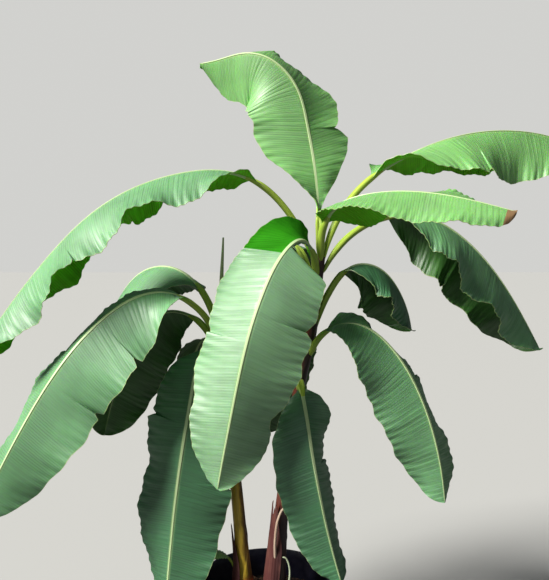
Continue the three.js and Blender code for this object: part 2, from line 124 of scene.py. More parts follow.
# Two sheaths wind up each stem, once in so many millimetres, and each ends in an edge
WRAP_RISE = 520
SECOND_RISE = 610
WRAP_SWAY = 0.45
WRAP_SWAYS = 5.1
WRAP_EDGE = 0.03
WRAP_STEP = 2.2

# Dead sheaths that wrap part of a stem: heights, the way they face and how far they wrap
SHEATHS = {
    "dry_sheath_main": {"stem": "main", "low": 330, "high": 640, "facing": 205, "wrap": 170, "flare": 5},
    "dry_sheath_left": {"stem": "left", "low": 315, "high": 560, "facing": 190, "wrap": 130, "flare": 4},
}
SHEATH_TAPER_FROM = 0.45
SHEATH_TAPER_TO = 0.45
SHEATH_ROWS = 90
SHEATH_COLUMNS = 48
SHEATH_TORN_AT = 0.93
SHEATH_TEARS = ((0.05, 9, 0), (0.03, 31, 1), (0.015, 83, 0))
SHEATH_RIPPLES = ((0.5, 70, 3), (0.8, 17, 6))
SHEATH_CURL = 3.0
SHEATH_OFF = 2.2
SHEATH_THICK = 1.4

# Two narrow strips: the lines that they follow, and how they are rolled in and drawn thin
DRY_STALK = [(24, -18, 420), (22, -42, 520), (30, -46, 590), (48, -46, 630), (66, -46, 634), (76, -44, 612)]
CURL = [(40, -24, 312), (58, -30, 345), (68, -32, 395), (67, -33, 435), (56, -33, 462), (44, -33, 466)]
STRIP_ROWS = 120
STRIP_COLUMNS = 10
STRIP_FACING = (0.25, 1.0, 0.1)
STRIP_ROLLED = 230
STRIP_TAPER = (1.25, 0.7)
STRIP_POINTED = 12
STRIP_THICK = 0.9

# Leaf make-up, shared by every leaf: first its petiole and midrib
PETIOLE_RADIUS = 12
PETIOLE_START = 0.55
PETIOLE_SWELL = 0.4
PETIOLE_LEFT = 0.25
PETIOLE_FLAT = 0.85
RIB_HALF = 8
RIB_SLIMS = (0.75, 0.22)
RIB_DEPTH = 9
RIB_SHALLOWS = (1, 0.12)
RIB_HEIGHT = 2.2
RIB_LOWERS = (1, 0.5)
GROOVE_WIDTH = 0.45
GROOVE_DEPTHS = (0.62, 0.45)
LEAF_POINTED = 60
MIDRIB_FROM = 0.06
RIB_SAMPLES = 480
STALK_ROWS = 160
STALK_SIDES = 16

# The outline of a blade, with its swells, nicks and folds
WIDEST = 0.42
OPENED_BY = 0.08
SHOULDER = 0.9
BLUNT = 2.4
NARROWEST = 4
LATE_OPENING = 0.06
MARGIN_SWELL = 0.018
SLOW_SWELLS = 31
QUICK_SWELLS = 67
LIP_LENGTH = 3
FLAP_LIFT = 7
FOLD_AT_RIB = 0.9
FOLD_GAIN = 0.2
UNROLLED = (0, 0)
HANGING = (20, 10, -30, -35, -35, -30, -30)
BLADE_THICK = 1.5
FEWEST_ROWS = 60
ROWS_OVER = 900

# The relief of a blade: ruffles and crimps near the margin, and pleats between the side veins
WAVE = (12, 2.5, 0.1, 0.5)
RUFFLES = 3.3
RUFFLE_SLANT = 0.2
RUFFLE_SHARE = 0.2
CRIMPS = 11.7
CRIMP_START = 0.3
CRIMP_HEIGHT = 1.6
VEIN_LEAN = 0.22
VEIN_SPACING = 7.7
PLEAT_SPACING = 15.4
PLEAT_DEPTH = 0.6
PLEATS_FROM = 5
BROAD_PLEAT = 2.7
BROAD_PLEAT_SHARE = 0.8
PLEAT_FADE = 0.45
PLEAT_FADE_OVER = 9.1

# The looks of a blade: how much each pattern shades it, and how light goes through it
LEAF_GLOSS = 1.8
BAND_SHADE = 0.25
PATCH_SHADE = 0.35
LIGHT_SIDE = 1.12
DEEP_SIDE = 0.58
RIB_SHOWS = 0.6
MARGIN_SHOWS = 0.7
LEAF_SCATTER = (0.35, 1.0, 0.1)
SCATTER_DEPTH = 2.5

# The looks of a stem: how soft its lit side ends, and how much stains and fibres change it
LIT_SOFTNESS = 0.11
STAIN_SWAY = 0.06
STAINS_SHOW = 0.6
FIBRES_SHOW = 0.45
FIBRE_SHADE = 0.45
FOOT_SWAY = 0.03
FOOT_FADES = (0.15, 0.10)

# Streaks: how many to the metre along a piece, how many across it, and their detail
BANDS = (66.0, 1.4, 2.0)
PATCHES = (6.0, 2.5, 2.0)
BENDS = (11.0, 1.2, 1.0)
STRENGTHS = (9.0, 2.0, 1.0)
STAINS = (14.0, 5.0, 4.0)
VEINS_BEND = 9.0

# Camera and light: the lens is set for the picture's height, in pixels
CAMERA_ASIDE = 0.02
SENSOR = 36
FOCAL_PIXELS = 800
PICTURE_PIXELS = 580
FLOOR_SIZE = 30
FLOOR_SEEN = (0.44, 0.44, 0.43, 1)
FLOOR_LIT = (0.16, 0.16, 0.16, 1)
BACKDROP = (0.64, 0.64, 0.62, 1)
SKY = (0.84, 0.92, 1.0, 1)

# Lamps: the way to each, its share of the key light's strength, its width in degrees, its colour
LAMPS = (
    ("key", (-0.708, -0.345, 0.616), 1, 26, (1.0, 0.98, 0.93)),
    ("front", (-0.35, -0.80, 0.55), 0.03, 70, (0.90, 0.96, 1.0)),
)

# Leaves. Each rib is followed from the stem: its pitch above level and its heading from +X
# towards +Y, both in degrees, are given at even steps from the stem to the tip. So are the
# roll of the blade about the rib and the fold of its halves: up is more than 0, hanging is
# less. The left half is the one on the left of somebody who walks along the rib. A wave is
# its height, how many there are, and where it starts on the left and the right margin. A nick
# is its half, 1 for the left, its place down the rib, its depth as a share of the half, and its
# width towards the stem and, where that differs, towards the tip. A swell is its half, its place,
# the share by which the half grows, and its width. Pleats below 1 make a smoother blade. Light
# goes through the right half as far down as through says, and past dry_tip the leaf is dead.
# The tint of a leaf's top is partly its age and partly painted light and shade: paler for the lit upper
# leaves, darker for the shaded lower ones, with a painted sheen on the smooth front leaf.
LEAVES = [
    dict(name="leaf_top", stem="main", side=90, out=4, height=1410, length=970, petiole=110, width=345,
         pitch=[84, 76, 72, 76, 40, -5, 0], heading=[95, 103, 115, 160, 175, 145, 140],
         roll=[-5, -12, -15, -45, -55, -55, -55], left=[30, 30, 5, -25, -35, -45, -60],
         right=[10, 0, -5, -15, -35, -50, -65], wave=(14, 2.5, 0.1, 0.3), shoulder=2.4, blunt=5,
         slim_right=0.85, light="sunny", age_and_light="young", nicks=[(-1, 0.435, 0.36, 0.035, 0.07)], seed=1),
    dict(name="leaf_left_long", stem="main", side=185, out=12, height=1400, length=1380, petiole=290,
         width=330, pitch=[68, 47, 0, -23, -44, -52, -56], heading=[190, 188, 187, 187, 187, 186, 186],
         left=[20, 10, -22, -25, -27, -33, -40], right=[20, 10, -24, -26, -28, -34, -36],
         wave=(28, 3.4, 0.93, 0.42), pieces=2, light="sunny", age_and_light="grown",
         nicks=[(-1, 0.55, 0.12, 0.010), (1, 0.70, 0.10, 0.010)], seed=2),
    dict(name="leaf_right_far", stem="main", side=45, out=12, height=1402, length=1180, petiole=330,
         width=360, pitch=[70, 50, 30, 20, 6, -10, -34], heading=[50, 33, 25, 16, 12, 8, 5],
         left=[20, 20, 10, -35, -42, -42, -38], right=[20, 20, 12, -25, -58, -70, -64],
         wave=(24, 2.6, 0.3, 0.1), blunt=3.4, light="sunny", age_and_light="young",
         nicks=[(-1, 0.62, 0.10, 0.010)], seed=3),
    dict(name="leaf_right_near", stem="main", side=285, out=12, height=1408, length=735, petiole=120,
         width=290, pitch=[78, 58, 20, 4, -6, -13, -16], heading=[250, 300, 325, 330, 333, 338, 345],
         left=[20, -20, -45, -12, 0, 0, -5], right=[20, 5, -8, -20, -28, -32, -34],
         wave=(10, 2.5, 0.6, 0.3), light="sunny", age_and_light="young", seed=4, dry_tip=0.965),
    dict(name="leaf_front", stem="main", side=235, out=12, height=1352, length=1000, petiole=60,
         width=360, pitch=[80, 36, -22, -56, -68, -75, -78, -79, -80],
         heading=[262, 245, 236, 222, 214, 210, 202, 190, 180],
         roll=[0, 0, 0, -25, -42, -55, -70, -82, -90], left=[20, -20, -35, -30, -20, -22, -22, -24, -25],
         right=[20, 62, 8, -12, -28, -30, -30, -28, -25], wave=(12, 3, 0.3, 0.75), left_from=0.25,
         slim_right=0.9, shoulder=1.1, light="sunny", age_and_light="smooth",
         nicks=[(-1, 0.58, 0.06, 0.03, 0.05), (1, 0.50, 0.13, 0.10, 0.02)],
         swells=[(-1, 0.43, 0.12, 0.06), (-1, 0.68, 0.10, 0.03), (-1, 0.77, -0.04, 0.03),
                 (1, 0.36, -0.08, 0.06), (1, 0.80, -0.08, 0.03), (1, 0.89, 0.14, 0.04)], seed=5,
         through=0.3, pleats=0.4),
    dict(name="leaf_right_arch", stem="main", side=15, out=12, height=1368, length=1060, petiole=290,
         width=360, pitch=[62, 32, 2, -30, -48, -58, -62], heading=[26, 24, 18, 12, 8, 4, 0],
         roll=[0, 0, -5, -8, -8, -5, 0], left=[20, 10, -60, -80, -80, -75, -60],
         right=[20, 10, -25, -45, -50, -45, -40], wave=(24, 3, 0.6, 0.2), pieces=2, light="shady",
         age_and_light="grown", nicks=[(1, 0.60, 0.12, 0.012)], seed=6),
    dict(name="leaf_right_small", stem="main", side=25, out=12, height=1180, length=600, petiole=210,
         width=285, pitch=[78, 62, 47, -4, -46, -66, -80], heading=[32, 26, 22, 20, 16, 12, 12],
         roll=[0, 0, -5, -8, -8, -5, 0], left=[20, 10, -50, -75, -75, -70, -60],
         right=[20, 10, -20, -38, -40, -35, -30], wave=(16, 2, 0.6, 0.2), light="shady", age_and_light="old",
         seed=7),
    dict(name="leaf_right_low", stem="main", side=330, out=12, height=1105, length=850, petiole=90,
         width=292, pitch=[74, 24, -34, -58, -70, -78, -84], heading=[333, 335, 339, 343, 350, 360, 372],
         roll=[0, 5, 25, 45, 60, 75, 85], left=[20, 10, -40, -52, -52, -48, -40],
         right=[20, 10, -10, -12, -15, -20, -25], shoulder=0.7, light="sunny", age_and_light="grown",
         nicks=[(1, 0.55, 0.10, 0.012)], seed=8),
    dict(name="leaf_front_low", stem="main", side=290, out=12, height=990, length=720, petiole=110,
         width=240, pitch=[80, -35, -72, -77, -78, -76, -74],
         heading=[268, 278, 300, 322, 344, 356, 366], roll=[0, 10, 25, 45, 65, 80, 90],
         left=[20, 10, -40, -58, -60, -58, -50], right=[20, 10, -10, -10, -12, -18, -25],
         wave=(10, 2, 0.1, 0.5), light="shady", age_and_light="old", nicks=[(1, 0.50, 0.10, 0.014)], seed=9),
    dict(name="leaf_left_mid", stem="left", side=205, out=10, height=1130, length=1170, petiole=180,
         width=372, pitch=[76, 34, -26, -48, -58, -62, -64], heading=[220, 205, 199, 196, 193, 190, 184],
         roll=[0, -10, -42, -52, -58, -64, -70], left=[20, 10, -10, -12, -14, -18, -20],
         right=[20, 10, -45, -50, -50, -48, -40], wave=(14, 3, 0.1, 0.5), pieces=2, light="sunny",
         age_and_light="grown", nicks=[(1, 0.42, 0.16, 0.012), (1, 0.62, 0.12, 0.010), (-1, 0.55, 0.10, 0.012)],
         seed=10),
    dict(name="leaf_left_dark", stem="left", side=155, out=10, height=1090, length=780, petiole=150,
         width=290, pitch=[76, 42, -6, -52, -68, -73, -77], heading=[160, 152, 156, 164, 174, 182, 190],
         roll=[0, 5, 20, 40, 55, 65, 70], left=[20, 10, -20, -25, -25, -25, -25],
         right=[20, 10, -20, -25, -25, -25, -25], light="shady", age_and_light="old", seed=11),
    dict(name="leaf_front_left", stem="left", side=238, out=10, height=1038, length=990, petiole=140,
         width=340, pitch=[82, 70, -52, -77, -79, -80, -81, -82, -83, -84, -84, -85, -85],
         heading=[240, 212, 200, 194, 190, 185, 178],
         roll=[0, -10, -30, -44, -50, -54, -58, -62, -66, -68, -70, -72, -74],
         left=[20, 0, -35, -28, -20, -20, -20], right=[20, 10, -18, -24, -26, -28, -30], light="shady",
         age_and_light="old", nicks=[(-1, 0.40, 0.12, 0.014), (1, 0.58, 0.10, 0.012)], seed=12),
    dict(name="leaf_left_back", stem="left", side=125, out=10, height=1130, length=900, petiole=200,
         width=340, pitch=[78, 52, 22, -10, -42, -62, -70], heading=[128, 132, 137, 142, 143, 145, 145],
         left=HANGING, right=HANGING, pieces=2, light="shady", age_and_light="grown",
         nicks=[(-1, 0.55, 0.14, 0.012)], seed=13),
    dict(name="leaf_back_high", stem="main", side=110, out=12, height=1290, length=980, petiole=190,
         width=350, pitch=[70, 32, -8, -42, -58, -66, -70], heading=[110, 108, 106, 106, 106, 106, 106],
         left=HANGING, right=HANGING, wave=(14, 3, 0.1, 0.5), pieces=2, light="shady", age_and_light="grown",
         nicks=[(1, 0.50, 0.16, 0.012), (-1, 0.66, 0.12, 0.012)], seed=14),
    dict(name="leaf_back_low", stem="main", side=100, out=12, height=1060, length=860, petiole=170,
         width=320, pitch=[76, 34, -16, -50, -66, -74, -78], heading=[104, 104, 104, 106, 108, 110, 112],
         left=HANGING, right=HANGING, light="shady", age_and_light="old", nicks=[(-1, 0.48, 0.14, 0.014)], seed=15),
    dict(name="leaf_back_left", stem="left", side=112, out=10, height=1010, length=820, petiole=160,
         width=310, pitch=[76, 30, -20, -52, -68, -75, -80], heading=[114, 114, 113, 112, 112, 112, 112],
         left=HANGING, right=HANGING, light="shady", age_and_light="old", nicks=[(1, 0.60, 0.12, 0.014)], seed=16),
    # The sucker leaf's pale new tints are painted light on a leaf that lies in shade.
    dict(name="sucker_leaf", stem="left", side=175, out=20, height=370, length=190, petiole=80, width=46,
         pitch=[84, 70, 40, -10, -30], heading=[170, 180, 190, 195, 198], roll=[0, 0, -10, -20, -20],
         left=[20, 10, -10, -10, -10], right=[20, 10, -10, -10, -10], wave=(2, 1, 0.1, 0.5), stalk=5,
         light="new", age_and_light="new", seed=17),
]

# Settings that a user would change


def tint(name, description, default):
    """A colour that the panel shows."""
    return bpy.props.FloatVectorProperty(
        name=name, description=description, subtype="COLOR", size=3, default=default, min=0, max=1)


class LeafSettings(bpy.types.PropertyGroup):
    """Fineness and colours of the leaves"""
    rows: bpy.props.IntProperty(name="Rows", description="Rows in 900 mm of blade", default=400, min=20)
    columns: bpy.props.IntProperty(name="Columns", description="Faces across a blade", default=28, min=4)
    # Top tints, partly by age and partly painted light and shade: young is painted light, old is painted
    # shade, and smooth is greyed as a painted sheen.
    top_young: tint("Top, young", "Top of the upper leaves", (0.190, 0.450, 0.130))
    top_grown: tint("Top, grown", "Top of the middle leaves", (0.135, 0.335, 0.140))
    top_smooth: tint("Top, smooth", "Top of the front leaf", (0.170, 0.345, 0.165))
    top_old: tint("Top, old", "Top of the lower leaves", (0.052, 0.185, 0.075))
    under_sunny: tint("Underside, sunny", "Underside that light comes through", (0.170, 0.560, 0.020))
    under_shady: tint("Underside, shady", "Underside in the shade", (0.040, 0.150, 0.020))
    petiole: tint("Petiole", "Petioles", (0.500, 0.640, 0.090))
    midrib: tint("Midrib", "Midribs", (0.580, 0.720, 0.400))


class StemSettings(bpy.types.PropertyGroup):
    """Colours of the stems and dead sheaths"""
    # Each stem's own colours, placed as painted light on the side towards the key lamp and painted shade on
    # the far side. The left stem's olive is made paler as painted light.
    purple: tint("Purple", "Dark side of the main stem", (0.035, 0.016, 0.022))
    russet: tint("Russet", "Red-brown side of the main stem", (0.190, 0.045, 0.025))
    olive: tint("Olive", "Left stem", (0.780, 0.540, 0.050))
    dry: tint("Dry", "Dead sheaths", (0.105, 0.022, 0.018))


class PotSettings(bpy.types.PropertyGroup):
    """Pot and soil"""
    sides: bpy.props.IntProperty(name="Sides", description="Faces round the pot", default=128, min=24)
    chips: bpy.props.IntProperty(name="Chips", description="Bits of bark on the soil", default=420, min=0)
    plastic: tint("Plastic", "Pot", (0.010, 0.010, 0.026))
    soil: tint("Soil", "Soil", (0.045, 0.028, 0.022))


class StageSettings(bpy.types.PropertyGroup):
    """Camera and light"""
    distance: bpy.props.FloatProperty(
        name="Distance", description="Camera in front of the plant", default=2.47, unit="LENGTH")
    height: bpy.props.FloatProperty(
        name="Height", description="Camera above the floor", default=1.60, unit="LENGTH")
    tilt: bpy.props.FloatProperty(
        name="Tilt", description="Camera below level", default=math.radians(6.5), unit="ROTATION")
    key: bpy.props.FloatProperty(
        name="Key light", description="Strength of the main light", default=7.2, min=0)
    around: bpy.props.FloatProperty(
        name="Light around", description="Strength of the even light from all sides", default=0.09, min=0)


# Curves and small sums


def mix(a, b, t):
    return a + (b - a) * t


def ease(t):
    s = np.clip(t, 0, 1)
    return s * s * (3 - 2 * s)


def pointed(t, sharpness):
    """1 along most of a tube, and rounded down to 0 at both of its ends."""
    return np.sqrt(np.clip(np.minimum(t, 1 - t) * sharpness, 0, 1))


def points_of(x, y, z):
    return np.stack([x, y, z], axis=-1)


def along(values, t):
    """The value at t, from 0 to 1, on a smooth curve through evenly spaced values."""
    values = np.asarray(values, float)
    last = len(values) - 1
    x = np.clip(t, 0, 1) * last
    i = np.minimum(np.floor(x).astype(int), last - 1)
    f = x - i
    a, b, c, d = (values[np.clip(i + k, 0, last)] for k in (-1, 0, 1, 2))
    return b + 0.5 * f * (c - a + f * (2 * a - 5 * b + 4 * c - d + f * (3 * (b - c) + d - a)))


def on_curve(line, t):
    """A point at t, from 0 to 1, on a centripetal curve through the points of a line."""
    line = np.asarray(line, float)
    last = len(line) - 1
    ends = np.vstack([2 * line[0] - line[1], line, 2 * line[last] - line[last - 1]])
    i = min(int(t * last), last - 1)
    f = t * last - i
    p0, p1, p2, p3 = ends[i:i + 4]
    d0, d1, d2 = (np.sum((q - p) ** 2) ** 0.25 for p, q in ((p0, p1), (p1, p2), (p2, p3)))
    out = ((p1 - p0) / d0 - (p2 - p0) / (d0 + d1) + (p2 - p1) / d1) * d1
    back = ((p2 - p1) / d1 - (p3 - p1) / (d1 + d2) + (p3 - p2) / d2) * d1
    bend = -3 * p1 + 3 * p2 - 2 * out - back
    return p1 + f * (out + f * (bend + f * (2 * p1 - 2 * p2 + out + back)))


def curve_at(line, u):
    """Points of a curve at every u, each worked out once."""
    steps, which = np.unique(u, return_inverse=True)
    return np.array([on_curve(line, t) for t in steps]), which


def stem_middle(line, height):
    """The middle of a stem at a height above the floor."""
    low, high = 0.0, 1.0
    for _ in range(HALVINGS):
        half = (low + high) / 2
        if on_curve(line, half)[2] < height:
            low = half
        else:
            high = half
    return on_curve(line, low)


# The rule of the leaves


def direction(leaf, t):
    pitch = np.radians(along(leaf["pitch"], t))
    heading = np.radians(along(leaf["heading"], t))
    return points_of(np.cos(pitch) * np.cos(heading), np.cos(pitch) * np.sin(heading), np.sin(pitch))


def rib_of(leaf):
    """Points down the rib of a leaf."""
    start = stem_middle(STEMS[leaf["stem"]]["line"], leaf["height"])
    side = math.radians(leaf["side"])
    start = start + leaf["out"] * np.array([math.cos(side), math.sin(side), 0])
    steps = direction(leaf, (np.arange(RIB_SAMPLES) + 0.5) / RIB_SAMPLES) * leaf["length"] / RIB_SAMPLES
    return np.vstack([start, start + np.cumsum(steps, axis=0)])


def rib_at(rib, t):
    where = np.linspace(0, 1, RIB_SAMPLES + 1)
    return points_of(*(np.interp(t, where, rib[:, k]) for k in range(3)))


def rib_frame(leaf, t):
    """The side and the face of a leaf at t: across its left half, and up from its top."""
    forward = direction(leaf, t)
    heading = np.radians(along(leaf["heading"], t))
    flat = points_of(-np.sin(heading), np.cos(heading), np.zeros_like(heading))
    up = np.cross(forward, flat)
    roll = np.radians(along(leaf.get("roll", UNROLLED), t))[:, None]
    return flat * np.cos(roll) + up * np.sin(roll), up * np.cos(roll) - flat * np.sin(roll)


def in_blade(leaf, t):
    """How far down the blade, and how far the blade has opened there."""
    share = leaf["petiole"] / leaf["length"]
    b = np.clip((t - share) / (1 - share), 0, 1)
    return b, ease(b / OPENED_BY)


def blade_half(leaf, b):
    before = b < WIDEST
    away = np.where(before, (WIDEST - b) / WIDEST, (b - WIDEST) / (1 - WIDEST))
    first = np.maximum(0, 1 - away ** BLUNT) ** leaf.get("shoulder", SHOULDER)
    last = np.sqrt(np.maximum(0, 1 - away ** leaf.get("blunt", BLUNT)))
    return leaf["width"] / 2 * np.where(before, first, last)


def petiole_radius(leaf, t, b):
    share = leaf["petiole"] / leaf["length"]
    swell = mix(PETIOLE_START, 1, ease(t / share / PETIOLE_SWELL))
    return leaf.get("stalk", PETIOLE_RADIUS) * swell * mix(1, PETIOLE_LEFT, b)


def half_width(leaf, b, t, s):
    """How wide a half is, with its swells and nicks, and how far the lips of a nick stand apart."""
    left = s > 0
    half = blade_half(leaf, b) * np.where(left, 1.0, leaf.get("slim_right", 1.0))
    if "left_from" in leaf:
        half = half * np.where(left, ease((t - leaf["left_from"]) / LATE_OPENING), 1.0)
    half = np.maximum(half, NARROWEST)
    slow = np.sin(SLOW_SWELLS * t + leaf["seed"] + left)
    quick = np.sin(QUICK_SWELLS * t + 3 * leaf["seed"])
    half = half * (1 + MARGIN_SWELL * (slow + quick))
    for hand, at, share, width in leaf.get("swells", ()):
        half = half * (1 + np.where(s * hand > 0, share * np.exp(-((t - at) / width) ** 2), 0))
    lips = np.zeros_like(t)
    for hand, at, depth, width, *beyond in leaf.get("nicks", ()):
        far = np.abs(t - at)
        reach_out = np.where(t < at, width, (beyond or [width])[0])
        half = half * (1 - depth * np.where(s * hand > 0, np.maximum(0, 1 - far / reach_out), 0))
        lips += np.where(s * hand > 0, np.sign(t - at) * np.exp(-far / (LIP_LENGTH * width)), 0)
    return half, lips


def blade_lift(leaf, b, opened, s, run):
    """How far the blade stands off its fold, in broad waves, ruffles, crimps and pleats."""
    across = np.abs(s)
    seed = leaf["seed"]
    height, count, start_left, start_right = leaf.get("wave", WAVE)
    turns = count * b + np.where(s > 0, start_left, start_right)
    waves = height * opened * across ** 2 * np.sin(TURN * turns)
    ruffle_turns = TURN * (RUFFLES * turns + RUFFLE_SLANT * across) + seed
    ruffles = RUFFLE_SHARE * height * opened * across ** 3 * np.sin(ruffle_turns)
    crimps = CRIMP_HEIGHT * opened * across ** 4 * np.sin(TURN * (CRIMPS * turns + CRIMP_START) + 2 * seed)
    pleats = np.sin(TURN * run / PLEAT_SPACING)
    pleats += BROAD_PLEAT_SHARE * np.sin(TURN * run / (BROAD_PLEAT * PLEAT_SPACING))
    pleats *= 1 - PLEAT_FADE + PLEAT_FADE * np.sin(TURN * run / (PLEAT_FADE_OVER * PLEAT_SPACING) + seed)
    pleats *= PLEAT_DEPTH * leaf.get("pleats", 1) * opened * ease(across * PLEATS_FROM) * (1 - 0.5 * across)
    return waves + ruffles + crimps + pleats


def blade_point(leaf, rib, t, s):
    """Points of the blade, t down the rib and s across, from -1, right, to 1, left."""
    b, opened = in_blade(leaf, t)
    across = np.abs(s)
    side, face = rib_frame(leaf, t)
    half, lips = half_width(leaf, b, t, s)
    reach = across * mix(petiole_radius(leaf, t, b), half, opened)
    fold = np.radians(np.where(s > 0, along(leaf["left"], t), along(leaf["right"], t))) * opened
    fold = fold * (FOLD_AT_RIB + FOLD_GAIN * across)
    run = t * leaf["length"] - VEIN_LEAN * reach
    lift = (blade_lift(leaf, b, opened, s, run) + FLAP_LIFT * lips * opened * across ** 3)[:, None]
    hand = np.sign(s)[:, None]
    cos, sin = np.cos(fold)[:, None], np.sin(fold)[:, None]
    outward = side * hand * cos + face * sin
    normal = face * cos - side * hand * sin
    return rib_at(rib, t) + outward * reach[:, None] + normal * lift, run


def petiole_point(leaf, rib, t, turn):
    """Points of the petiole and midrib, t down the rib and turn round it, from 0 to 1."""
    b, opened = in_blade(leaf, t)
    side, face = rib_frame(leaf, t)
    lean = (np.radians(along(leaf["left"], t) - along(leaf["right"], t)) * 0.5 * opened)[:, None]
    upright = face * np.cos(lean) - side * np.sin(lean)
    level = side * np.cos(lean) + face * np.sin(lean)
    radius = petiole_radius(leaf, t, b)
    ends = pointed(t, LEAF_POINTED)
    angle = TURN * turn
    wide = mix(radius, np.minimum(RIB_HALF * mix(*RIB_SLIMS, b), radius), opened) * ends
    deep = mix(radius, RIB_DEPTH * mix(*RIB_SHALLOWS, b) * np.minimum(1, radius / RIB_HALF), opened) * ends
    high = mix(radius * PETIOLE_FLAT, RIB_HEIGHT * mix(*RIB_LOWERS, b), opened) * ends
    x = wide * np.cos(angle)
    y = np.where(np.sin(angle) > 0, high, deep) * np.sin(angle)
    groove = np.exp(-(x / np.maximum(GROOVE_WIDTH * wide, 0.1)) ** 2) * mix(*GROOVE_DEPTHS, opened) * high
    y = np.where(np.sin(angle) > 0, y - groove, y)
    return rib_at(rib, t) + level * x[:, None] + upright * y[:, None]


# Making and finishing meshes


def choose(piece):
    bpy.ops.object.select_all(action="DESELECT")
    piece.select_set(True)
    bpy.context.view_layer.objects.active = piece


def add_grid(name, rows, columns):
    """A flat grid of faces to be shaped. Gives it and each corner's place in it, from 0 to 1."""
    bpy.ops.object.select_all(action="DESELECT")
    bpy.ops.mesh.primitive_grid_add(x_subdivisions=rows, y_subdivisions=columns, size=1)
    piece = bpy.context.object
    piece.name = name
    places = np.empty(len(piece.data.vertices) * 3, np.float32)
    piece.data.vertices.foreach_get("co", places)
    places = places.reshape(-1, 3)
    return piece, places[:, 0].astype(float) + 0.5, places[:, 1].astype(float) + 0.5


def face_places(piece):
    """The place in a flat grid of each face's middle, along it and across it, from 0 to 1."""
    middles = np.empty(len(piece.data.polygons) * 3, np.float32)
    piece.data.polygons.foreach_get("center", middles)
    middles = middles.reshape(-1, 3) + 0.5
    return middles[:, 0], middles[:, 1]


def shape_mesh(piece, points):
    piece.data.vertices.foreach_set("co", np.ascontiguousarray(points * MM, np.float32).ravel())
    piece.data.update()


def lay_pattern(piece, u, v):
    """Writes the piece's own map: metres along it, and its share across it."""
    layer = piece.data.uv_layers.active or piece.data.uv_layers.new()
    layer.name = "pattern"
    corners = np.empty(len(piece.data.loops), np.int32)
    piece.data.loops.foreach_get("vertex_index", corners)
    layer.data.foreach_set("uv", np.stack([u, v], axis=-1)[corners].astype(np.float32).ravel())


def clean_mesh(threshold):
    """Joins corners that meet, turns every face outwards and leaves edit mode."""
    bpy.ops.mesh.select_all(action="SELECT")
    bpy.ops.mesh.remove_doubles(threshold=threshold)
    bpy.ops.mesh.normals_make_consistent(inside=False)
    bpy.ops.object.mode_set(mode="OBJECT")


def close_tube(piece):
    """Joins the seam and the pointed ends of a grid that was bent to a tube."""
    choose(piece)
    bpy.ops.object.mode_set(mode="EDIT")
    clean_mesh(TUBE_SEAM)


def add_thickness(piece, thick, under=0):
    choose(piece)
    modifier = piece.modifiers.new("thickness", "SOLIDIFY")
    modifier.thickness = thick * MM
    modifier.offset = 0
    modifier.material_offset = under
    bpy.ops.object.modifier_apply(modifier=modifier.name)


def paint(piece, *looks):
    for look in looks:
        piece.data.materials.append(bpy.data.materials[look])


def finish_piece(piece, nodes=()):
    choose(piece)
    bpy.ops.object.shade_smooth_by_angle(angle=math.radians(SMOOTH_BELOW))
    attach(piece, "root")
    if nodes:
        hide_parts(*nodes)


# Node groups and materials


def put(tree, kind, values=None, **settings):
    """Adds a node, with its settings, and with values or links for its inputs."""
    made = tree.nodes.new(kind)
    for key, value in settings.items():
        setattr(made, key, value)
    for key, value in (values or {}).items():
        if isinstance(value, bpy.types.NodeSocket):
            tree.links.new(value, made.inputs[key])
        else:
            made.inputs[key].default_value = value
    return made


def start_group(name, inputs, outputs):
    group = bpy.data.node_groups.new(name, "ShaderNodeTree")
    for label, kind, value in inputs:
        socket = group.interface.new_socket(label, in_out="INPUT", socket_type=kind)
        if value is not None:
            socket.default_value = value
    for label in outputs:
        group.interface.new_socket(label, in_out="OUTPUT", socket_type="NodeSocketFloat")
    return group, put(group, "NodeGroupInput").outputs, put(group, "NodeGroupOutput").inputs


def reckon(tree, operation, a, b=0.0, clamp=False):
    return put(tree, "ShaderNodeMath", {0: a, 1: b}, operation=operation, use_clamp=clamp).outputs[0]


def times(tree, a, b):
    return reckon(tree, "MULTIPLY", a, b)


def plus(tree, a, b, clamp=False):
    return reckon(tree, "ADD", a, b, clamp)


def away_from(tree, value, middle):
    return reckon(tree, "ABSOLUTE", reckon(tree, "SUBTRACT", value, middle))


def spread(tree, value, low, high, to_low=0.0, to_high=1.0):
    values = {"Value": value, "From Min": low, "From Max": high, "To Min": to_low, "To Max": to_high}
    return put(tree, "ShaderNodeMapRange", values, interpolation_type="SMOOTHSTEP").outputs["Result"]


def parts_of(tree, place):
    return put(tree, "ShaderNodeSeparateXYZ", {0: place}).outputs


def noise_at(tree, place, scale, detail):
    return put(tree, "ShaderNodeTexNoise", {"Vector": place, "Scale": scale, "Detail": detail}).outputs[0]


def streaks(tree, parts, per_metre, across, detail):
    """Noise drawn out over a piece's own map, so many to the metre along it and so many across it."""
    scaled = {"X": times(tree, parts["X"], per_metre), "Y": times(tree, parts["Y"], across)}
    return noise_at(tree, put(tree, "ShaderNodeCombineXYZ", scaled).outputs[0], 1.0, detail)


def colour_between(tree, share, a, b):
    return put(tree, "ShaderNodeMix", {0: share, 6: a, 7: b}, data_type="RGBA").outputs[2]


def opaque(colour, strength=1):
    return (*(strength * c for c in colour), 1.0)


